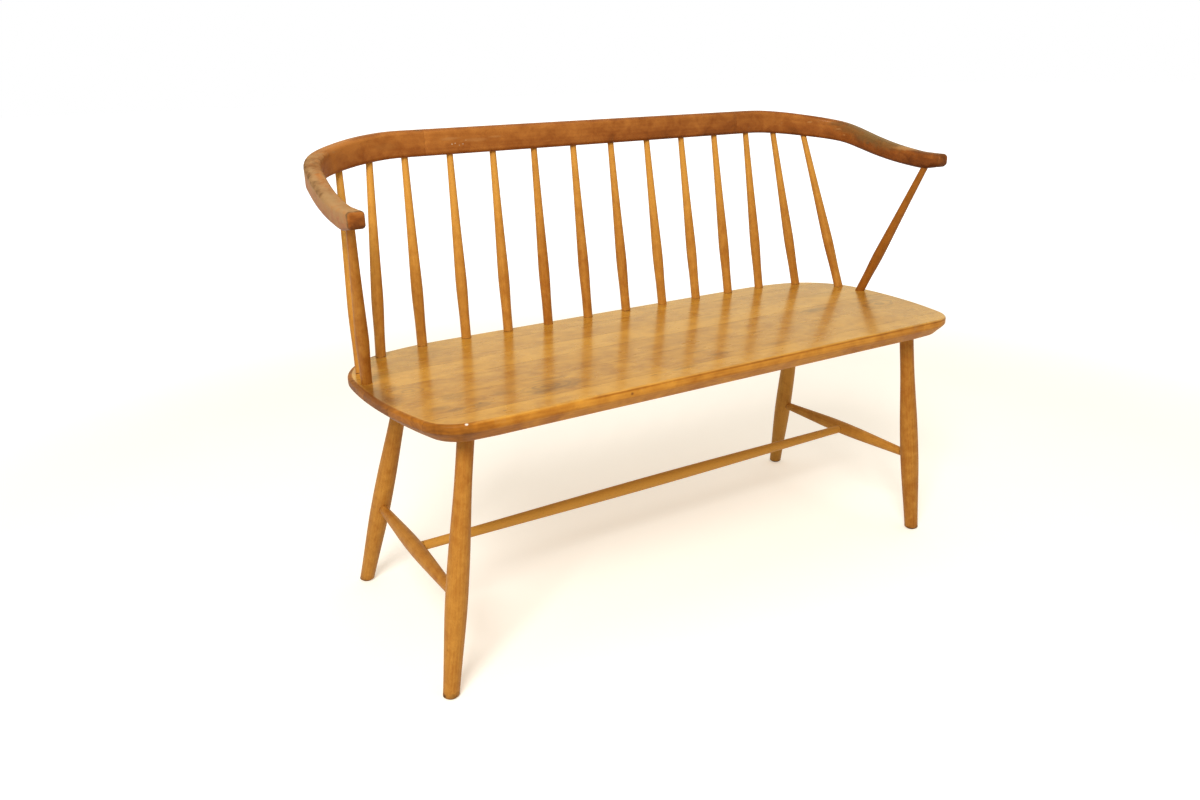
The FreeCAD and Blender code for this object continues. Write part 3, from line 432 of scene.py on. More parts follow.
def lacquered_wood(name, wood, figure_strengths, gloss, coat, ior, bump, marks=(), eyes=()):
    """A lacquered wood. Marks are ovals in the frame: place, reach, colour and strength. Eyes are rings."""
    colours = bpy.context.scene.bench_colours
    material, w, surface = new_material(name)
    shader = w.node("BsdfPrincipled")
    w.feed(surface, shader.outputs[0])
    w.fill(shader, Coat_Weight=coat, Coat_Roughness=0.15, IOR=ior, Specular_Tint=(1.0, 0.74, 0.4))
    rings, streaks, clouds, flecks, fineness = figure_strengths
    where = w.node("TexCoord").outputs["Object"]
    pale, deep = [tuple(getattr(colours, wood + word)) for word in ("_pale", "_deep")]
    figure = w.group("Wood figure", Position=w.painted("grain", "Vector"), Pale=pale, Deep=deep,
                     Ring_strength=rings, Streak_strength=streaks, Cloud_strength=clouds,
                     Fleck_strength=flecks, Cloud_fineness=fineness, Tone=w.painted("tone"))
    colour = figure["Colour"]
    for place, reach, shade, strength in marks:
        mark = w.group("Oval mark", Position=where, Place=place, Reach=reach, Strength=strength)
        colour = w.mix(mark["Mask"], colour, shade)
    if eyes:
        dull = w.painted("dull")
        colour = w.mix(dull, colour, EDGE_TINT, "MULTIPLY")
    for x, y, long, wide, strength in eyes:
        eye = w.group("Grain eye", Position=where, Place=(x, y, SEAT_TOP), Reach=(long, wide, 0.02),
                      Strength=strength)
        colour = w.mix(eye["Mask"], colour, SMUDGE_BROWN)
    aged = w.group("Aged lacquer", Colour=colour, Position=where, Worn=w.painted("worn"),
                   Grime=w.painted("grime"), Bare_wood=tuple(colours.bare_wood),
                   Grime_colour=tuple(colours.grime), Gloss=gloss)
    rough = aged["Roughness"]
    if eyes:
        w.fill(shader, Coat_Weight=w.times(w.minus(1.0, dull, clamp=True), coat))
        rough = w.plus(rough, w.times(dull, 0.22), clamp=True)
    height = w.plus(w.times(figure["Height"], 0.35), aged["Height"])
    w.fill(shader, Base_Color=aged["Colour"], Roughness=rough, Normal=w.bump(height, bump, 0.4 * MM))
    return material


def dulled_steel(name):
    """The glides' steel, dulled and scuffed."""
    material, w, surface = new_material(name)
    shader = w.node("BsdfPrincipled")
    w.feed(surface, shader.outputs[0])
    where = w.node("TexCoord").outputs["Object"]
    scuff = w.noise(where, (420.0, 420.0, 420.0), 4.0, 0.65)
    rust = w.remap(w.noise(where, (130.0, 130.0, 130.0), 3.0, 0.6), 0.5, 0.68, 0.0, 0.8)
    base = w.mix(scuff, (0.02, 0.018, 0.016), (0.062, 0.056, 0.048))
    w.fill(shader, Base_Color=w.mix(rust, base, (0.06, 0.03, 0.014)),
           Metallic=w.remap(rust, 0.0, 0.8, 0.7, 0.15), Roughness=w.remap(scuff, 0.3, 0.7, 0.35, 0.6),
           Normal=w.bump(scuff, 0.4, 0.2 * MM))
    return material


def finish_for(slot):
    """The material of one of the CAD's slots, made the first time that it is asked for."""
    name = {"seat_wood": "Board lacquer", "rail_wood": "Rail lacquer", "turned_wood": "Turned lacquer",
            "glide_metal": "Glide steel"}[slot]
    if name in bpy.data.materials:
        return bpy.data.materials[name]
    if "Wood figure" not in bpy.data.node_groups:
        for maker in (wood_figure_group, lacquer_wear_group, mark_group, grain_eye_group):
            maker()
    if slot == "seat_wood":
        marks = [((x, y, SEAT_TOP), (long, wide, 6 * MM), shade, strength)
                 for shade, rows in ((SMUDGE_BROWN, SEAT_SMUDGES), (FLECK_BROWN, SEAT_FLECKS))
                 for x, y, long, wide, strength in rows]
        return lacquered_wood(name, "seat", (0.2, 0.3, 1.65, 0.25, 0.62), 0.2, 0.42, 1.35, 0.22,
                              marks + BAND_MARKS, SEAT_EYES)
    if slot == "rail_wood":
        return lacquered_wood(name, "rail", (0.12, 0.28, 1.8, 0.3, 0.7), 0.4, 0.05, 1.28, 0.3, RAIL_MARKS)
    if slot == "turned_wood":
        return lacquered_wood(name, "turned", (0.1, 0.45, 0.95, 0.35, 1.1), 0.4, 0.03, 1.28, 0.3)
    return dulled_steel(name)


# Mesh helpers. The wood finishes read these layers, and "grain": coordinates with the grain along X.
LAYERS = ("tone", "worn", "grime", "dull")
EDGE, VERT = bmesh.types.BMEdge, bmesh.types.BMVert
SHARP_TURN = math.radians(34)


def new_shape():
    """An empty bmesh with the layers that the wood finishes read."""
    shape = bmesh.new()
    shape.verts.layers.float_vector.new("grain")
    for name in LAYERS:
        shape.verts.layers.float.new(name)
    return shape


def layer_of(shape, name):
    """One of a shape's layers."""
    layers = shape.verts.layers
    return (layers.float_vector if name == "grain" else layers.float).get(name)


def mark_all(shape, name, value_of):
    """Set a layer of every vertex from its own place."""
    layer = layer_of(shape, name)
    for vert in shape.verts:
        vert[layer] = value_of(vert)


def shift_grain(shape, move):
    """Cut a piece from another place of the wood."""
    grain = layer_of(shape, "grain")
    mark_all(shape, "grain", lambda vert: vert[grain] + Vector(move))


def only(kind, items):
    """The items of one kind."""
    return [item for item in items if isinstance(item, kind)]


def everything(shape):
    """All the vertices, edges and faces of a shape."""
    return shape.verts[:] + shape.edges[:] + shape.faces[:]


def cut_flat(shape, place, normal, clear_inner=False, clear_outer=False):
    """Cut a shape with a plane. Where a side is cleared, the cut is closed."""
    made = bmesh.ops.bisect_plane(shape, geom=everything(shape), dist=CUT_REACH, plane_co=place,
                                  plane_no=normal, clear_inner=clear_inner, clear_outer=clear_outer)
    if clear_inner or clear_outer:
        bmesh.ops.edgeloop_fill(shape, edges=only(EDGE, made["geom_cut"]))


def bevelled(shape, geometry, offset, segments, affect="EDGES"):
    """Bevel edges or corners."""
    bmesh.ops.bevel(shape, geom=geometry, offset=offset, offset_type="OFFSET", segments=segments,
                    profile=0.5, affect=affect, material=-1, clamp_overlap=True)


def spun(shape, row, steps):
    """Spin a row of vertices right round Z into a closed shape."""
    edges = [shape.edges.new(pair) for pair in zip(row, row[1:])]
    bmesh.ops.spin(shape, geom=row + edges, cent=(0, 0, 0), axis=(0, 0, 1), dvec=(0, 0, 0),
                   angle=2 * math.pi, steps=steps, use_merge=True, use_duplicate=False)
    bmesh.ops.remove_doubles(shape, verts=shape.verts, dist=SAME_PLACE)


def stand_for(shape, node, slot):
    """Turn a finished bmesh into a piece that stands for a CAD node."""
    bmesh.ops.recalc_face_normals(shape, faces=shape.faces)
    mesh = bpy.data.meshes.new("bench_" + node)
    shape.to_mesh(mesh)
    shape.free()
    mesh.shade_smooth()
    mesh.set_sharp_from_angle(angle=SHARP_TURN)
    mesh.materials.append(finish_for(slot))
    piece = bpy.data.objects.new("bench_" + node, mesh)
    bpy.context.scene.collection.objects.link(piece)
    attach(piece, "root")
    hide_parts(node)


def smooth_step(low, high, value):
    """0 at low, 1 at high, and an ease between them."""
    share = min(1.0, max(0.0, (value - low) / (high - low)))
    return share * share * (3 - 2 * share)


def eased(table, share, column):
    """Read a column of a table of shares along a smooth curve through its points."""
    last = len(table) - 1
    index = 0
    while index < last - 1 and table[index + 1][0] < share:
        index += 1
    start, end = table[index], table[index + 1]
    span = end[0] - start[0]
    part = min(1.0, max(0.0, (share - start[0]) / span))

    def slope(at):
        before, after = table[max(0, at - 1)], table[min(last, at + 1)]
        if at in (0, last):
            return 0.0
        return (after[column] - before[column]) / (after[0] - before[0]) * span

    first, second = start[column], end[column]
    return ((2 * part ** 3 - 3 * part ** 2 + 1) * first + (part ** 3 - 2 * part ** 2 + part) * slope(index)
            + (3 * part ** 2 - 2 * part ** 3) * second + (part ** 3 - part ** 2) * slope(index + 1))


# The seat.
SEAT_INNER = 45 * MM
SEAT_ARRIS = 4.4 * MM
BEVEL_ROUND = 8 * MM
FRONT_STEPS = 12


def seat_section(sizes):
    """The seat's edge as distance in from the outline, height and wear, from the top to the underside."""
    flats = ((SEAT_INNER, 0.0), (0.016, 0.0), (0.01, 0.0), (0.0078, 0.0), (0.006, 0.02), (SEAT_ARRIS, 0.08))
    points = [(inset, SEAT_TOP, wear) for inset, wear in flats]
    for degrees in (18.0, 36.0, 54.0, 72.0, 90.0):
        angle = math.radians(degrees)
        points.append((SEAT_ARRIS - SEAT_ARRIS * math.sin(angle),
                       SEAT_TOP - SEAT_ARRIS + SEAT_ARRIS * math.cos(angle), 0.14))
    corner_z = SEAT_TOP - sizes.band_height
    fall = corner_z - SEAT_UNDER
    turn = math.atan2(sizes.bevel_inset, fall)
    reach = BEVEL_ROUND * math.tan(turn / 2)
    for share in (0.0, 0.25, 0.5, 0.75, 1.0):
        angle = turn * share
        points.append((BEVEL_ROUND - BEVEL_ROUND * math.cos(angle),
                       corner_z + reach - BEVEL_ROUND * math.sin(angle), 0.05))
    points += [(sizes.bevel_inset * share, corner_z - fall * share, 0.0) for share in (0.4, 0.7, 0.95)]
    points += [(sizes.bevel_inset + 0.6 * MM, SEAT_UNDER, 0.12),
               (sizes.bevel_inset + 6 * MM, SEAT_UNDER, 0.0), (SEAT_INNER, SEAT_UNDER, 0.0)]
    return points


def seat_slab(sizes):
    """The whole seat, its edge swept round the outline and mirrored, before it is parted into boards."""
    shape = new_shape()
    worn, insets = layer_of(shape, "worn"), layer_of(shape, "tone")
    row = []
    for inset, height, wear in seat_section(sizes):
        vert = shape.verts.new((0, SEAT_FRONT + inset, height))
        vert[worn] = wear
        vert[insets] = inset
        row.append(vert)
    leading = row + [shape.edges.new(pair) for pair in zip(row, row[1:])]

    def carry(leading, x):
        made = bmesh.ops.extrude_edge_only(shape, edges=only(EDGE, leading))["geom"]
        bmesh.ops.translate(shape, verts=only(VERT, made), vec=(x, 0, 0))
        return only((EDGE, VERT), made)

    for count in range(FRONT_STEPS):
        leading = carry(leading, sizes.seat_front_half / FRONT_STEPS)
    ends = sizes.seat_front_angle + sizes.seat_side_angle + sizes.seat_back_angle
    x, y, heading = sizes.seat_front_half, SEAT_FRONT, 0.0
    for radius, turn, steps in ((sizes.seat_front_radius, sizes.seat_front_angle, 20),
                                (sizes.seat_side_radius, sizes.seat_side_angle, 16),
                                (sizes.seat_back_radius, sizes.seat_back_angle, 22),
                                (sizes.seat_shoulder_radius, math.pi - ends, 8)):
        centre = Vector((x - radius * math.sin(heading), y + radius * math.cos(heading), 0))
        made = bmesh.ops.spin(shape, geom=leading, cent=centre, axis=(0, 0, 1), dvec=(0, 0, 0),
                              angle=turn, steps=steps, use_duplicate=False)
        leading = made["geom_last"]
        heading += turn
        x = centre.x + radius * math.sin(heading)
        y = centre.y - radius * math.cos(heading)
    carry(leading, -x)
    bmesh.ops.mirror(shape, geom=everything(shape), axis="X", merge_dist=SAME_PLACE)
    bmesh.ops.remove_doubles(shape, verts=shape.verts, dist=2 * SAME_PLACE)
    open_edges = [edge for edge in shape.edges if edge.is_boundary]
    for level in (SEAT_TOP, SEAT_UNDER):
        bmesh.ops.edgeloop_fill(shape, edges=[edge for edge in open_edges
                                              if abs(edge.verts[0].co.z - level) < MM])
    return shape


def hollow_bevel(shape):
    """Let the bevel run further in at the seat's ends, as it does where it was shaped by hand."""
    shape.normal_update()
    start = SEAT_TOP - 12 * MM
    for vert in shape.verts:
        depth = (start - vert.co.z) / (start - SEAT_UNDER)
        if depth <= 0:
            continue
        x, y = vert.co.x, vert.co.y - (SEAT_FRONT + SEAT_BACK) / 2
        ends = smooth_step(0.4, 0.49, abs(x))
        inward = Vector((-math.copysign(1, x) * ends, -y / 0.2, 0)).normalized()
        vert.co += inward * ends * depth * 6 * MM


def part_board(whole, near, far, number):
    """One board of the seat, cut from the slab, with fine bevels along its glued edges."""
    shape = whole.copy()
    cuts = [(place, beyond) for place, beyond in ((near, True), (far, False)) if place is not None]
    for place, beyond in cuts:
        cut_flat(shape, (0, place, 0), (0, 1, 0), clear_inner=beyond, clear_outer=not beyond)
        for inward in (1.2 * MM, 4 * MM):
            cut_flat(shape, (0, place + (inward if beyond else -inward), 0), (0, 1, 0))
    seams = []
    for edge in shape.edges:
        first, second = edge.verts[0].co, edge.verts[1].co
        level = abs(first.z - second.z) < SAME_PLACE and (abs(first.z - SEAT_TOP) < SAME_PLACE
                                                          or abs(first.z - SEAT_UNDER) < SAME_PLACE)
        if level and any(abs(first.y - place) < SAME_PLACE and abs(second.y - place) < SAME_PLACE
                         for place, beyond in cuts):
            seams.append(edge)
    bmesh.ops.recalc_face_normals(shape, faces=shape.faces)
    bevelled(shape, seams, 0.18 * MM, 1)
    heart_y, heart_z, lift, tone = BOARD_HEARTS[number]
    mark_all(shape, "grain", lambda vert: (vert.co.x + 1.7 * number,
                                           vert.co.y - heart_y + 0.006 * math.sin(vert.co.x * 5 + number),
                                           vert.co.z - heart_z + vert.co.x * lift))
    for vert in shape.verts:
        age_board(shape, vert, tone)
    grime = layer_of(shape, "grime")
    for vert in shape.verts:
        for place, beyond in cuts:
            if abs(vert.co.y - place) < 0.25 * MM:
                vert[grime] = 0.8 if place > 0.1 else 0.62
    return shape


def age_board(shape, vert, tone):
    """Tone, wear, grime and dullness at one place of a board, with painted shade and a painted highlight.
    The seat's left end is the most handled.
    """
    tones, worn, grime, dull = [layer_of(shape, name) for name in LAYERS]
    x, depth, inset = vert.co.x, SEAT_TOP - vert.co.z, vert[tones]
    edge = smooth_step(SEAT_TOP - 0.0005, SEAT_TOP - 0.0034, vert.co.z)
    if x < 0:
        end = smooth_step(0.415, 0.455, -x)
        edge = max(edge, end * smooth_step(0.0074, 0.0056, inset))
        # Painted highlight: a pale line along the left end's arris, about 7.8 mm in from the outline, given
        # a paler tone and more wear.
        line = end * (1 - smooth_step(0.0, 0.0016, abs(inset - 0.0078)))
        line *= smooth_step(0.435, 0.4395, vert.co.z)
        far = smooth_step(-0.16, -0.02, vert.co.y)
        near = smooth_step(0.24, 0.4, -x) * (1 - end)
        vert[tones] = tone * (1 - 0.85 * edge * end) - 0.5 * line
        vert[tones] += edge * (end * (0.76 + 0.5 * far) + 0.36 * near + 0.18 * (1 - end))
        vert[worn] += 0.45 * line
        vert[grime] = edge * end * 0.24
    else:
        end = smooth_step(0.445, 0.485, x)
        vert[tones] = tone + edge * (0.18 * end + 0.18)
        vert[grime] = edge * end * 0.1
    dark_line = smooth_step(0.0008, 0.0016, depth) * (1 - smooth_step(0.0031, 0.0043, depth))
    dark_line *= smooth_step(-0.3, -0.24, x)
    # The second term darkens everything from 8 to 12 mm below the top downwards: painted shade on the band's
    # lower part, the bevel and the underside.
    vert[tones] += 0.85 * dark_line + 0.22 * smooth_step(0.008, 0.012, depth)
    vert[grime] += 0.26 * dark_line
    vert[dull] = edge


class BENCH_OT_seat(bpy.types.Operator):
    """Make the seat's six boards"""

    bl_idname = "bench.seat"
    bl_label = "Seat boards"

    def execute(self, context):
        sizes = context.scene.bench_sizes
        whole = seat_slab(sizes)
        hollow_bevel(whole)
        bounds = [None] + [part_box("seat_board_%d" % number)[0][1] for number in range(2, 7)] + [None]
        for number in range(6):
            board = part_board(whole, bounds[number], bounds[number + 1], number)
            stand_for(board, "seat_board_%d" % (number + 1), "seat_wood")
        whole.free()
        return {"FINISHED"}


# The rail. Its middle line is straight, and then bends by these radii and turns.
RAIL_STRAIGHT = 0.3465
RAIL_JOINT = 0.3195
RAIL_TONGUE = 0.018
RAIL_BENDS = [
    (0.228, math.radians(39.0)),
    (0.1115, math.radians(45.4)),
    (0.205 / math.radians(8.1), math.radians(8.1)),
]
ARM_RUN = sum(radius * turn for radius, turn in RAIL_BENDS)
ARM_FALL = 0.067
BACK_TALL, BACK_THICK = 0.042, 0.025
ARM_TALL, ARM_THICK, TIP_TALL = 0.0285, 0.024, 0.023
FLUSH = 0.05 * MM
FINE_BEVEL = 0.35 * MM
BACK_STEPS = 40
ARM_STEPS = 110
# The left arm's tip is sawn square and the right one's is worn round: corner radius and end round.
TIP_ROUNDS = {-1: (5 * MM, 4.5 * MM), 1: (7.6 * MM, 5.5 * MM)}


def rail_place(along):
    """Place, heading, height and thickness of the rail's middle line, a length along it."""
    x = min(along, RAIL_STRAIGHT)
    y = RAIL_Y
    heading = 0.0
    left = along - x
    for radius, turn in RAIL_BENDS:
        step = max(0.0, min(turn, left / radius))
        x += radius * (math.sin(heading + step) - math.sin(heading))
        y -= radius * (math.cos(heading) - math.cos(heading + step))
        heading += step
        left -= radius * turn
    share = max(0.0, (along - RAIL_STRAIGHT) / ARM_RUN)
    fall = ARM_FALL * eased(ARM_SHARES, share, 1)
    change = eased(ARM_SHARES, share, 2)
    past = max(0.0, (share - ARM_TIP_START_SHARE) / (1 - ARM_TIP_START_SHARE))
    tall = BACK_TALL + (ARM_TALL - BACK_TALL) * change
    tall += (TIP_TALL - ARM_TALL) * past * past * (3 - 2 * past)
    return Vector((x, y, RAIL_Z - fall)), heading, tall, BACK_THICK + (ARM_THICK - BACK_THICK) * change


def fitted(value, plain_half, half, radius, new_radius, shrink):
    """Fit one coordinate of the plain section to a new size, with a new radius at the corners."""
    core = plain_half - radius
    inner = max(-core, min(core, value))
    return inner * (half - new_radius) / core + (value - inner) * (new_radius - shrink) / radius


def swept_rail(sizes, stations, tip_radius):
    """Carry the rail's rounded section through stations of length along and shrink, and close both ends."""
    shape = new_shape()
    half_thick, half_tall, radius = BACK_THICK / 2, BACK_TALL / 2, sizes.rail_round
    corners = [shape.verts.new((x, y, 0)) for x, y in ((-half_thick, -half_tall), (half_thick, -half_tall),
                                                       (half_thick, half_tall), (-half_thick, half_tall))]
    shape.faces.new(corners)
    bevelled(shape, corners, radius, 7, "VERTICES")
    long_sides = [edge for edge in shape.edges if edge.calc_length() > 9 * MM]
    bmesh.ops.subdivide_edges(shape, edges=long_sides, cuts=3)
    grain = layer_of(shape, "grain")
    face = shape.faces[:][0]
    for vert in face.verts:
        vert[grain] = (0, vert.co.x, vert.co.y)
    for index, (along, shrink) in enumerate(stations):
        if index:
            face = bmesh.ops.extrude_discrete_faces(shape, faces=[face])["faces"][0]
        place, heading, tall, thick = rail_place(along)
        across = Vector((math.sin(heading), math.cos(heading), 0))
        ahead = Vector((math.cos(heading), -math.sin(heading), 0))
        matrix = Matrix.Translation(place) @ Matrix((across, Vector((0, 0, 1)), ahead)).transposed().to_4x4()
        near_tip = smooth_step(0.8, 0.98, (along - RAIL_STRAIGHT) / ARM_RUN)
        corner = radius + (tip_radius - radius) * near_tip
        for vert in face.verts:
            plain = vert[grain]
            x = fitted(plain.y, half_thick, thick / 2 - FLUSH, radius, corner, shrink * 0.6)
            y = fitted(plain.z, half_tall, tall / 2 - FLUSH, radius, corner, shrink)
            vert.co = matrix @ Vector((x, y, 0))
            vert[grain] = (along, plain.y, plain.z)
    bmesh.ops.edgeloop_fill(shape, edges=[edge for edge in shape.edges if edge.is_boundary])
    return shape


def arm_wear(vert, grain, side):
    """Rubbed places of an arm: the left one's outer and upper sides, from its bend to its tip."""
    along, across, up = vert[grain]
    share = (along - RAIL_STRAIGHT) / ARM_RUN
    if side > 0:
        return 0.04 + 0.1 * smooth_step(0.006, 0.017, up) * smooth_step(0.6, 0.9, share)
    if share > 0.995:
        return 0.12
    outer = smooth_step(-0.004, 0.011, across)
    upper = smooth_step(0.004, 0.017, up)
    bend = 1 - smooth_step(0.62, 0.8, share)
    rubbed = min(0.76, 0.5 * outer * (1 - 0.3 * upper) + (0.62 - 0.14 * bend) * upper)
    return 0.05 + smooth_step(0.25, 0.5, share) * rubbed


def arm_grime(vert, grain, side):
    """Dirt of an arm: in the joint, and darkened by hands along the left arm's top."""
    along, across, up = vert[grain]
    if abs(along - RAIL_JOINT) < 0.1 * MM:
        return 0.3
    share = (along - RAIL_STRAIGHT) / ARM_RUN
    rim = 0.6 * smooth_step(0.985, 0.992, share) * (1 - smooth_step(0.996, 0.9995, share))
    if side > 0:
        inner = smooth_step(0.002, -0.012, across)
        return max(smooth_step(0.35, 0.62, share) * (0.16 + 0.12 * inner), 0.75 * rim)
    handled = smooth_step(0.24, 0.4, share) * (1 - smooth_step(0.7, 0.84, share))
    upper = smooth_step(0.004, 0.017, up)
    edge = smooth_step(0.004, 0.011, across) * smooth_step(0.01, 0.017, up)
    return max(0.05 + handled * (0.31 * upper + 0.2 * edge), rim)


def height_tone_and_shade(up):
    """The rail is redder and darker along its lower edge, which is painted shade, and more golden along its
    upper one.
    """
    # Painted shade: darker towards the rail's lower edge.
    dark = 0.3 * smooth_step(0.0, -0.008, up) + 0.5 * smooth_step(-0.015, -0.0195, up)
    return dark - 0.1 * smooth_step(0.002, 0.01, up) + 0.62 * smooth_step(0.0165, 0.0205, up)


def arm_tone(vert, grain, side):
    """How dark an arm is: the right one darkens round its bend."""
    along, across, up = vert[grain]
    share = (along - RAIL_STRAIGHT) / ARM_RUN
    if side > 0:
        return height_tone_and_shade(up) + 0.24 + 0.42 * smooth_step(0.35, 0.7, share)
    top = 0.62 * smooth_step(0.0165, 0.0205, up) * smooth_step(0.15, 0.35, share)
    return height_tone_and_shade(up) - top - 0.18 + 0.5 * smooth_step(0.993, 1.0, share)


def add_tongues(back, sizes):
    """The tongues at both ends of the back, which show as strips in the arms' top."""
    half = BACK_THICK * 0.17
    for side in (1, -1):
        ends = [(side * (RAIL_JOINT - MM), -FLUSH), (side * (RAIL_JOINT + RAIL_TONGUE), -FLUSH)]
        tongue = swept_rail(sizes, ends, sizes.rail_round)
        for place, outer in ((RAIL_Y - half, False), (RAIL_Y + half, True)):
            cut_flat(tongue, (0, place, 0), (0, 1, 0), clear_inner=not outer, clear_outer=outer)
        bmesh.ops.recalc_face_normals(tongue, faces=tongue.faces)
        spare = bpy.data.meshes.new("spare_tongue")
        tongue.to_mesh(spare)
        tongue.free()
        back.from_mesh(spare)
        bpy.data.meshes.remove(spare)


def make_arm(side, name, sizes):
    """One bent arm, from the joint to its rounded tip."""
    end = RAIL_STRAIGHT + ARM_RUN
    tip_radius, tip_round = TIP_ROUNDS[side]
    start = RAIL_JOINT + 4 * FINE_BEVEL
    stations = [(RAIL_JOINT, FINE_BEVEL), (RAIL_JOINT + FINE_BEVEL, 0.0)]
    reach = end - tip_round - start
    stations += [(start + reach * step / ARM_STEPS, 0.0) for step in range(ARM_STEPS + 1)]
    for degrees in (15.0, 30.0, 45.0, 60.0, 75.0, 90.0):
        angle = math.radians(degrees)
        stations.append((end - tip_round + tip_round * math.sin(angle), tip_round * (1 - math.cos(angle))))
    arm = swept_rail(sizes, stations, tip_radius)
    grain = layer_of(arm, "grain")
    for layer, value_of in (("worn", arm_wear), ("grime", arm_grime), ("tone", arm_tone)):
        mark_all(arm, layer, lambda vert: value_of(vert, grain, side))
    shift_grain(arm, (0.0 if side > 0 else 3.1, -0.03, 0.022))
    if side < 0:
        bmesh.ops.scale(arm, vec=(-1, 1, 1), verts=arm.verts[:])
    stand_for(arm, name, "rail_wood")


class BENCH_OT_rail(bpy.types.Operator):
    """Make the rail's straight back and its two bent arms"""

    bl_idname = "bench.rail"
    bl_label = "Bow rail"

    def execute(self, context):
        sizes = context.scene.bench_sizes
        inner = RAIL_JOINT - FINE_BEVEL
        stops = [(-RAIL_JOINT, FINE_BEVEL), (-inner, 0.0)]
        stops += [(-inner + 2 * inner * step / BACK_STEPS, 0.0) for step in range(1, BACK_STEPS)]
        stops += [(inner, 0.0), (RAIL_JOINT, FINE_BEVEL)]
        back = swept_rail(sizes, stops, sizes.rail_round)
        add_tongues(back, sizes)
        grain = layer_of(back, "grain")
        mark_all(back, "tone", lambda vert: (height_tone_and_shade(vert[grain][2]) - 0.18
                                             + 0.42 * smooth_step(-0.32, 0.32, vert.co.x)))
        mark_all(back, "worn", lambda vert: 0.03)
        mark_all(back, "grime", lambda vert: 0.3 if abs(abs(vert.co.x) - RAIL_JOINT) < 0.1 * MM else 0.0)
        shift_grain(back, (5.0, 0.035, -0.028))
        stand_for(back, "rail_back", "rail_wood")
        make_arm(1, "rail_arm_right", sizes)
        make_arm(-1, "rail_arm_left", sizes)
        return {"FINISHED"}


# The turned pieces. Each is turned about Z from stations of height, radius, wear and grime.
def turned_shape(stations, steps, seed, tone, lean=0.0):
    """Spin stations about Z, and give the grain its own place."""
    shape = new_shape()
    worn, grime = layer_of(shape, "worn"), layer_of(shape, "grime")
    row = []
    for height, radius, wear, dirt in [(stations[0][0], 0.0, 0, 0), *stations, (stations[-1][0], 0.0, 0, 0)]:
        vert = shape.verts.new((radius, 0, height))
        vert[worn] = wear
        vert[grime] = dirt
        row.append(vert)
    spun(shape, row, steps)
    away = 0.022 + 0.02 * math.sin(seed * 2.1) ** 2
    turn = seed * 2.4
    mark_all(shape, "grain", lambda vert: (
        vert.co.z + seed * 0.83,
        vert.co.x + away * math.cos(turn) + vert.co.z * (lean + 0.006 * math.sin(seed)),
        vert.co.y + away * math.sin(turn) + vert.co.z * 0.004 * math.cos(seed * 3)))
    mark_all(shape, "tone", lambda vert: tone)
    return shape


def swelling(start, exposed, low, top, swell, table):
    """Stations of a piece that swells between its ends. Each half starts from its own end's diameter."""
    peak = max(share for share, part in table if part == 1.0)
    stations = []
    for index in range(len(table) * 3 - 2):
        share = table[index // 3][0]
        if index % 3:
            share += (table[index // 3 + 1][0] - share) * (index % 3) / 3
        part = eased(table, share, 1)
        end = low if share < peak else top
        stations.append((start + exposed * share, (end + (swell - end) * part) / 2, 0.03, 0.0))
    return stations


def joint_ring(stations, height, radius, reach, dirt):
    """Grime in the corner where a turned piece enters another."""
    kept = [station for station in stations if abs(station[0] - height) > reach * 1.05]
    kept += [(height - reach, radius, 0.1, 0.0), (height - reach / 3, radius, 0.1, dirt),
             (height + reach / 3, radius, 0.1, dirt), (height + reach, radius, 0.1, 0.0)]
    return sorted(kept)


def stand_between(shape, start, towards):
    """Turn a piece that stands on the origin so that it stands on start and points towards a place."""
    direction = (towards - start).normalized()
    turn = Vector((0, 0, 1)).rotation_difference(direction).to_matrix().to_4x4()
    bmesh.ops.transform(shape, matrix=Matrix.Translation(start) @ turn, verts=shape.verts[:])


def make_spindle(foot, head, top, top_tenon, name, seed, tone, fade, sizes):
    """One spindle or arm post between the seat's top and the rail's underside. It can grow paler upwards."""
    exposed = (head - foot).length
    low = sizes.spindle_foot
    stations = [(0.0, low / 2, 0.0, 0.0)]
    stations += swelling(SPINDLE_TENON, exposed, low, top, sizes.spindle_swell, SPINDLE_SHARES)
    stations.append((SPINDLE_TENON + exposed + top_tenon, top / 2, 0.0, 0.0))
    dirt = 0.0 if fade else 0.14
    stations = [(height, radius, wear, dirt) for height, radius, wear, clean in stations]
    stations = joint_ring(stations, SPINDLE_TENON, low / 2, 1.3 * MM, 0.55)
    stations = joint_ring(stations, SPINDLE_TENON + exposed, top / 2, 0.8 * MM, 0.35)
    shape = turned_shape(stations, sizes.turned_steps, seed, tone)
    mark_all(shape, "tone", lambda vert: tone + fade * (
        0.22 - smooth_step(0.3, 0.9, (vert.co.z - SPINDLE_TENON) / exposed)))
    stand_between(shape, foot - (head - foot).normalized() * SPINDLE_TENON, head)
    stand_for(shape, name, "turned_wood")


def under_rail(along):
    """Where a spindle's axis meets the rail's underside."""
    place, heading, tall, thick = rail_place(along)
    return Vector((place.x, place.y, place.z - tall / 2))


class BENCH_OT_spindles(bpy.types.Operator):
    """Make the fourteen back spindles"""

    bl_idname = "bench.spindles"
    bl_label = "Back spindles"

    def execute(self, context):
        sizes = context.scene.bench_sizes
        half = len(SPINDLE_FEET)
        for index, (spot, along) in enumerate(zip(SPINDLE_FEET, SPINDLE_ALONG)):
            head = under_rail(along)
            for side in (1, -1):
                number = half + 1 + index if side > 0 else half - index
                foot = Vector((side * spot[0], spot[1], SEAT_TOP))
                end = Vector((side * head.x, head.y, head.z))
                make_spindle(foot, end, sizes.spindle_top, SPINDLE_TENON, "back_spindle_%02d" % number,
                             float(number), SPINDLE_TONES[number - 1], SPINDLE_FADE, sizes)
        return {"FINISHED"}


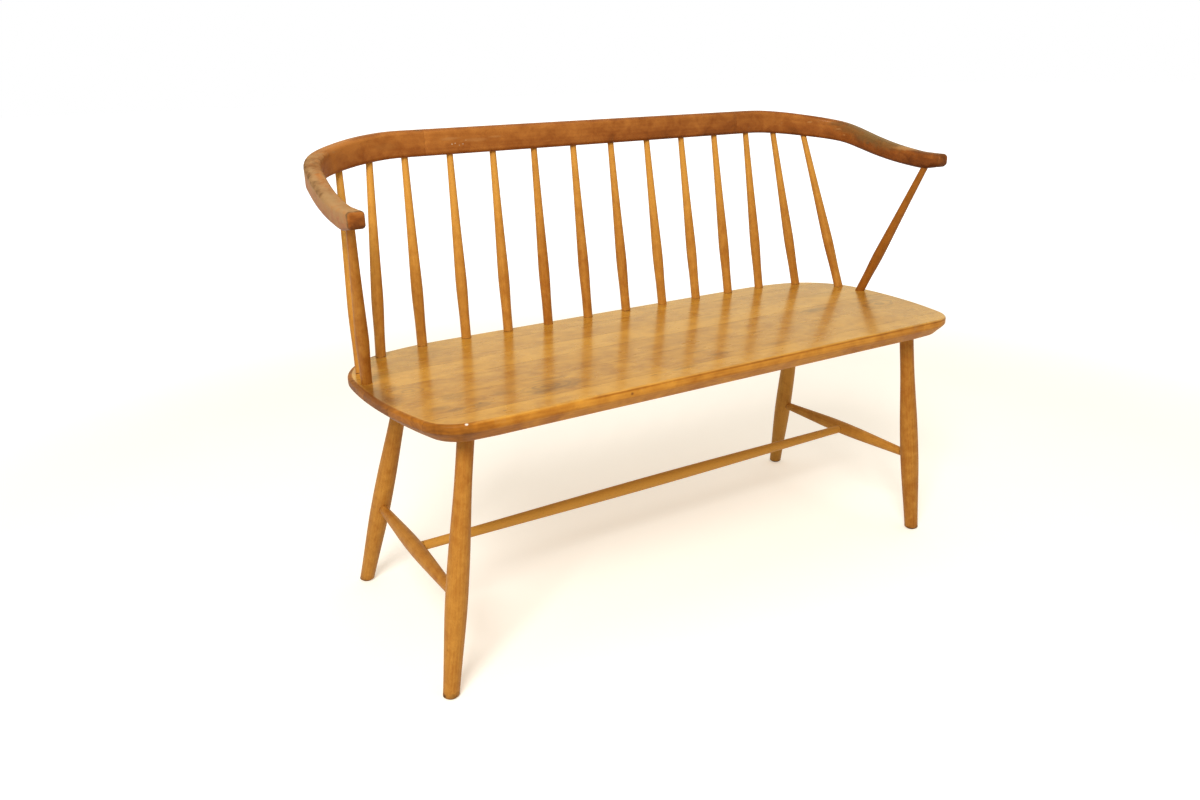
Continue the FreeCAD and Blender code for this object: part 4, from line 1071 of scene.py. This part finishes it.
class BENCH_OT_arm_posts(bpy.types.Operator):
    """Make the two leaning arm posts"""

    bl_idname = "bench.arm_posts"
    bl_label = "Arm posts"

    def execute(self, context):
        sizes = context.scene.bench_sizes
        head = under_rail(RAIL_STRAIGHT + ARM_RUN * POST_ALONG_SHARE)
        for side, name, seed, tone in ((1, "arm_post_right", 16.0, 0.62), (-1, "arm_post_left", 15.0, 0.3)):
            make_spindle(Vector((side * POST_FOOT[0], POST_FOOT[1], SEAT_TOP)),
                         Vector((side * (head.x - POST_OFFSET), head.y, head.z)),
                         sizes.post_top, POST_TENON, name, seed, tone, 0.0, sizes)
        return {"FINISHED"}


# Legs, stretchers and glides.
GLIDE_TALL = 3 * MM
GLIDE_FACES = 48
LEG_TENON = 22 * MM
LEG_EXTRA = 20 * MM
STRETCHER_HEIGHT = 0.16
STRETCHER_STOP = 4 * MM
CENTRE_SHARE = 0.492
# For a right leg: place of its axis under the seat, and its splay and rake at the floor.
LEG_PLACES = {
    "front": (0.43, SEAT_FRONT + 0.0582, 0.058, -0.004),
    "back": (0.4185, SEAT_BACK - 0.074, 0.069, 0.126),
}


def leg_point(which, height, side=1):
    """Where a leg's axis passes a height above the floor."""
    x, y, splay, rake = LEG_PLACES[which]
    down = (SEAT_UNDER - height) / SEAT_UNDER
    return Vector((side * (x + splay * down), y + rake * down, height))


def make_leg(which, side, name, seed, tone, sizes):
    """One leg. It is turned over length, leant, and cut level with the floor."""
    foot = leg_point(which, GLIDE_TALL)
    head = leg_point(which, SEAT_UNDER)
    exposed = (head - foot).length
    stations = [(0.0, sizes.leg_foot / 2, 0.2, 0.2)]
    stations += swelling(LEG_EXTRA, exposed, sizes.leg_foot, sizes.leg_top, sizes.leg_swell, LEG_SHARES)
    stations = [(height, radius, wear + 0.2 * (1 - smooth_step(LEG_EXTRA, LEG_EXTRA + 0.05, height)),
                 dirt + 0.66 * (1 - smooth_step(LEG_EXTRA - 0.002, LEG_EXTRA + 0.016, height)))
                for height, radius, wear, dirt in stations]
    stations.append((LEG_EXTRA + exposed + LEG_TENON, sizes.leg_top / 2, 0.0, 0.0))
    stations = joint_ring(stations, LEG_EXTRA + exposed, sizes.leg_top / 2, 1.4 * MM, 0.6)
    shape = turned_shape(stations, sizes.turned_steps + 8, seed, tone, 0.003)
    # Painted shade: the left legs grow darker towards the seat, where its shadow falls on them.
    shade = 0.2 if side < 0 else 0.0
    mark_all(shape, "tone", lambda vert: tone + shade * smooth_step(
        0.5, 0.85, (vert.co.z - LEG_EXTRA) / exposed))
    stand_between(shape, foot - (head - foot).normalized() * LEG_EXTRA, head)
    cut_flat(shape, (0, 0, GLIDE_TALL), (0, 0, 1), clear_inner=True)
    rim = [edge for edge in shape.edges
           if all(abs(vert.co.z - GLIDE_TALL) < SAME_PLACE for vert in edge.verts)]
    bevelled(shape, rim, 2.2 * MM, 3)
    if side < 0:
        bmesh.ops.scale(shape, vec=(-1, 1, 1), verts=shape.verts[:])
    stand_for(shape, name, "turned_wood")


class BENCH_OT_legs(bpy.types.Operator):
    """Make the four splayed legs, cut level on their glides"""

    bl_idname = "bench.legs"
    bl_label = "Legs"

    def execute(self, context):
        sizes = context.scene.bench_sizes
        for which, side, seed, tone in (("front", 1, 21.0, 0.22), ("front", -1, 22.0, 0.02),
                                        ("back", 1, 23.0, -0.45), ("back", -1, 24.0, 0.0)):
            name = "leg_%s_%s" % (which, "right" if side > 0 else "left")
            make_leg(which, side, name, seed, tone, sizes)
        return {"FINISHED"}


def make_stretcher(start, end, swell, buried, name, seed, tone, wear, sizes):
    """One stretcher, which stops short of the axes of what holds it."""
    length = (end - start).length - 2 * STRETCHER_STOP
    stations = swelling(0.0, length, sizes.stretcher_end, sizes.stretcher_end, swell, STRETCHER_SHARES)
    for height in (buried, length - buried):
        near = min(stations, key=lambda station: abs(station[0] - height))
        stations = joint_ring(stations, height, near[1], 1.8 * MM, 0.55)
    shape = turned_shape(stations, sizes.turned_steps, seed, tone)
    rubbed = layer_of(shape, "worn")
    mark_all(shape, "worn", lambda vert: vert[rubbed] + wear)
    stand_between(shape, start + (end - start).normalized() * STRETCHER_STOP, end)
    stand_for(shape, name, "turned_wood")


class BENCH_OT_stretchers(bpy.types.Operator):
    """Make the two side stretchers and the one between them"""

    bl_idname = "bench.stretchers"
    bl_label = "Stretchers"

    def execute(self, context):
        sizes = context.scene.bench_sizes
        middles = []
        for side, name, seed, tone in ((1, "side_stretcher_right", 31.0, -0.2),
                                       (-1, "side_stretcher_left", 32.0, 0.1)):
            front, back = [leg_point(which, STRETCHER_HEIGHT, side) for which in ("front", "back")]
            make_stretcher(front, back, sizes.side_swell, 13.5 * MM, name, seed, tone, 0.0, sizes)
            middles.append(front.lerp(back, CENTRE_SHARE))
        make_stretcher(middles[1], middles[0], sizes.centre_swell, 8.5 * MM, "centre_stretcher", 33.0,
                       -0.86, 0.12, sizes)
        return {"FINISHED"}


class BENCH_OT_glides(bpy.types.Operator):
    """Make the four steel glides: each a disc with a rolled edge, a sunk middle and a pin"""

    bl_idname = "bench.glides"
    bl_label = "Glides"

    def execute(self, context):
        profile = [
            (0.0, 0.45), (1.6, 0.35), (2.6, 0.55), (3.2, 1.0), (4.4, 1.0), (5.2, 0.35), (7.4, 0.0),
            (8.9, 0.0), (9.6, 0.3), (10.0, 1.0), (10.0, 2.5), (9.7, 3.0), (1.5, 3.0), (1.5, 17.0),
            (0.0, 19.0),
        ]
        for which in ("front", "back"):
            for side, word in ((1, "right"), (-1, "left")):
                foot = leg_point(which, GLIDE_TALL, side)
                shape = new_shape()
                row = [shape.verts.new((radius * MM, 0, height * MM)) for radius, height in profile]
                spun(shape, row, GLIDE_FACES)
                bmesh.ops.translate(shape, verts=shape.verts[:], vec=(foot.x, foot.y, 0))
                stand_for(shape, "glide_%s_%s" % (which, word), "glide_metal")
        return {"FINISHED"}


# The stage.
CAMERA_PLACE = Vector((-0.8738, -1.30096, 0.8715))
CAMERA_RIGHT = Vector((0.85812, -0.51282, -0.0255))
CAMERA_DOWN = Vector((-0.19221, -0.27479, -0.9421))
CAMERA_AHEAD = Vector((0.47612, 0.81333, -0.33437))
WHITE = (1.0, 1.0, 1.0)


def pale_surface(name):
    """The floor's material, see-through from below. The camera and gloss see it lifted towards white."""
    material, w, surface = new_material(name)
    both, shown = w.node("AddShader"), w.node("MixShader")
    diffuse, light = w.node("BsdfDiffuse"), w.node("Emission")
    where = w.node("TexCoord").outputs["Object"]
    far = w.remap(w.vector("LENGTH", where).outputs["Value"], 1.3, 3.2, 0.0, 1.0)
    faint = w.noise(where, (7.0, 7.0, 7.0), 4.0, 0.6)
    near_shade = w.mix(faint, (0.8, 0.79, 0.755), (0.83, 0.817, 0.777))
    rays = w.node("LightPath").outputs
    seen = w.math("MAXIMUM", rays["Is Camera Ray"], w.times(rays["Is Glossy Ray"], 0.6))
    w.fill(diffuse, Color=w.mix(far, near_shade, (0.8, 0.8, 0.8)))
    w.fill(light, Color=w.mix(far, (0.47, 0.395, 0.3), WHITE),
           Strength=w.math("MAXIMUM", seen, rays["Is Transmission Ray"]))
    from_below = w.times(w.node("NewGeometry").outputs["Backfacing"], rays["Is Camera Ray"])
    for socket, made in ((both.inputs[0], diffuse), (both.inputs[1], light), (shown.inputs[1], both),
                         (shown.inputs[2], w.node("BsdfTransparent")), (surface, shown)):
        w.feed(socket, made.outputs[0])
    w.feed(shown.inputs[0], from_below)
    return material


def make_floor(scene):
    """A wide floor."""
    shape = bmesh.new()
    bmesh.ops.create_grid(shape, x_segments=8, y_segments=8, size=30.0)
    mesh = bpy.data.meshes.new("studio_floor")
    shape.to_mesh(mesh)
    shape.free()
    mesh.materials.append(pale_surface("Pale floor"))
    floor = bpy.data.objects.new("studio_floor", mesh)
    scene.collection.objects.link(floor)


def make_world(scene):
    """A white surround that is plain light on the bench and warm in its gloss."""
    scene.world = bpy.data.worlds.new("Studio surround")
    scene.world.use_nodes = True
    w = Wiring(scene.world.node_tree)
    background = w.node("Background")
    rays = w.node("LightPath").outputs
    seen = w.math("MAXIMUM", rays["Is Camera Ray"], rays["Is Transmission Ray"])
    plain = w.mix(rays["Is Glossy Ray"], (0.44, 0.435, 0.42), (1.1, 0.95, 0.58))
    w.fill(background, Color=w.mix(seen, plain, WHITE))
    w.feed(w.node("OutputWorld").inputs["Surface"], background.outputs[0])


def make_lamps(scene):
    """A soft key from the front left and a wide, faint top light."""
    for name, place, aim, wide, power in (("key_lamp", (-2.0, -2.1, 2.75), (0.0, 0.0, 0.45), 1.3, 117.0),
                                          ("top_lamp", (0.6, -0.3, 3.2), (0.0, 0.0, 0.4), 2.6, 18.0)):
        light = bpy.data.lights.new(name, "AREA")
        light.shape = "SQUARE"
        light.size = wide
        light.energy = power
        light.color = (1.0, 0.99, 0.965)
        lamp = bpy.data.objects.new(name, light)
        lamp.location = place
        lamp.rotation_euler = (Vector(aim) - Vector(place)).to_track_quat("-Z", "Y").to_euler()
        scene.collection.objects.link(lamp)


def make_camera(scene):
    """The camera at the photograph's viewing angle."""
    camera = bpy.data.cameras.new("camera")
    camera.lens = 28.0
    camera.sensor_width = 36.0
    camera.clip_end = 100.0
    holder = bpy.data.objects.new("camera", camera)
    turn = Matrix((CAMERA_RIGHT, -CAMERA_DOWN, -CAMERA_AHEAD)).transposed().to_4x4()
    holder.matrix_world = Matrix.Translation(CAMERA_PLACE) @ turn
    scene.collection.objects.link(holder)
    scene.camera = holder


class BENCH_OT_stage(bpy.types.Operator):
    """Set up the pale floor, the soft lights, the white surround and the camera"""

    bl_idname = "bench.stage"
    bl_label = "Studio"

    def execute(self, context):
        scene = context.scene
        make_floor(scene)
        make_world(scene)
        make_lamps(scene)
        make_camera(scene)
        scene.view_settings.view_transform = "Standard"
        return {"FINISHED"}


OPERATORS = [BENCH_OT_seat, BENCH_OT_rail, BENCH_OT_spindles, BENCH_OT_arm_posts, BENCH_OT_legs,
             BENCH_OT_stretchers, BENCH_OT_glides, BENCH_OT_stage]


class BENCH_PT_panel(bpy.types.Panel):
    """The bench's pieces and sizes in the sidebar"""

    bl_idname = "BENCH_PT_panel"
    bl_label = "Spindle-back bench"
    bl_space_type = "VIEW_3D"
    bl_region_type = "UI"
    bl_category = "Bench"

    def draw(self, context):
        for operator in OPERATORS:
            self.layout.operator(operator.bl_idname)
        for group in (context.scene.bench_sizes, context.scene.bench_colours):
            column = self.layout.column()
            for name in group.bl_rna.properties.keys():
                if name not in ("rna_type", "name"):
                    column.prop(group, name)


CLASSES = [BenchSizes, BenchColours] + OPERATORS + [BENCH_PT_panel]


def register():
    for item in CLASSES:
        bpy.utils.register_class(item)
    bpy.types.Scene.bench_sizes = PointerProperty(type=BenchSizes)
    bpy.types.Scene.bench_colours = PointerProperty(type=BenchColours)


def unregister():
    del bpy.types.Scene.bench_colours
    del bpy.types.Scene.bench_sizes
    for item in reversed(CLASSES):
        bpy.utils.unregister_class(item)


def main():
    """Build the bench and its studio."""
    register()
    bpy.ops.bench.seat()
    bpy.ops.bench.rail()
    bpy.ops.bench.spindles()
    bpy.ops.bench.arm_posts()
    bpy.ops.bench.legs()
    bpy.ops.bench.stretchers()
    bpy.ops.bench.glides()
    bpy.ops.bench.stage()


if __name__ == "__main__":
    main()
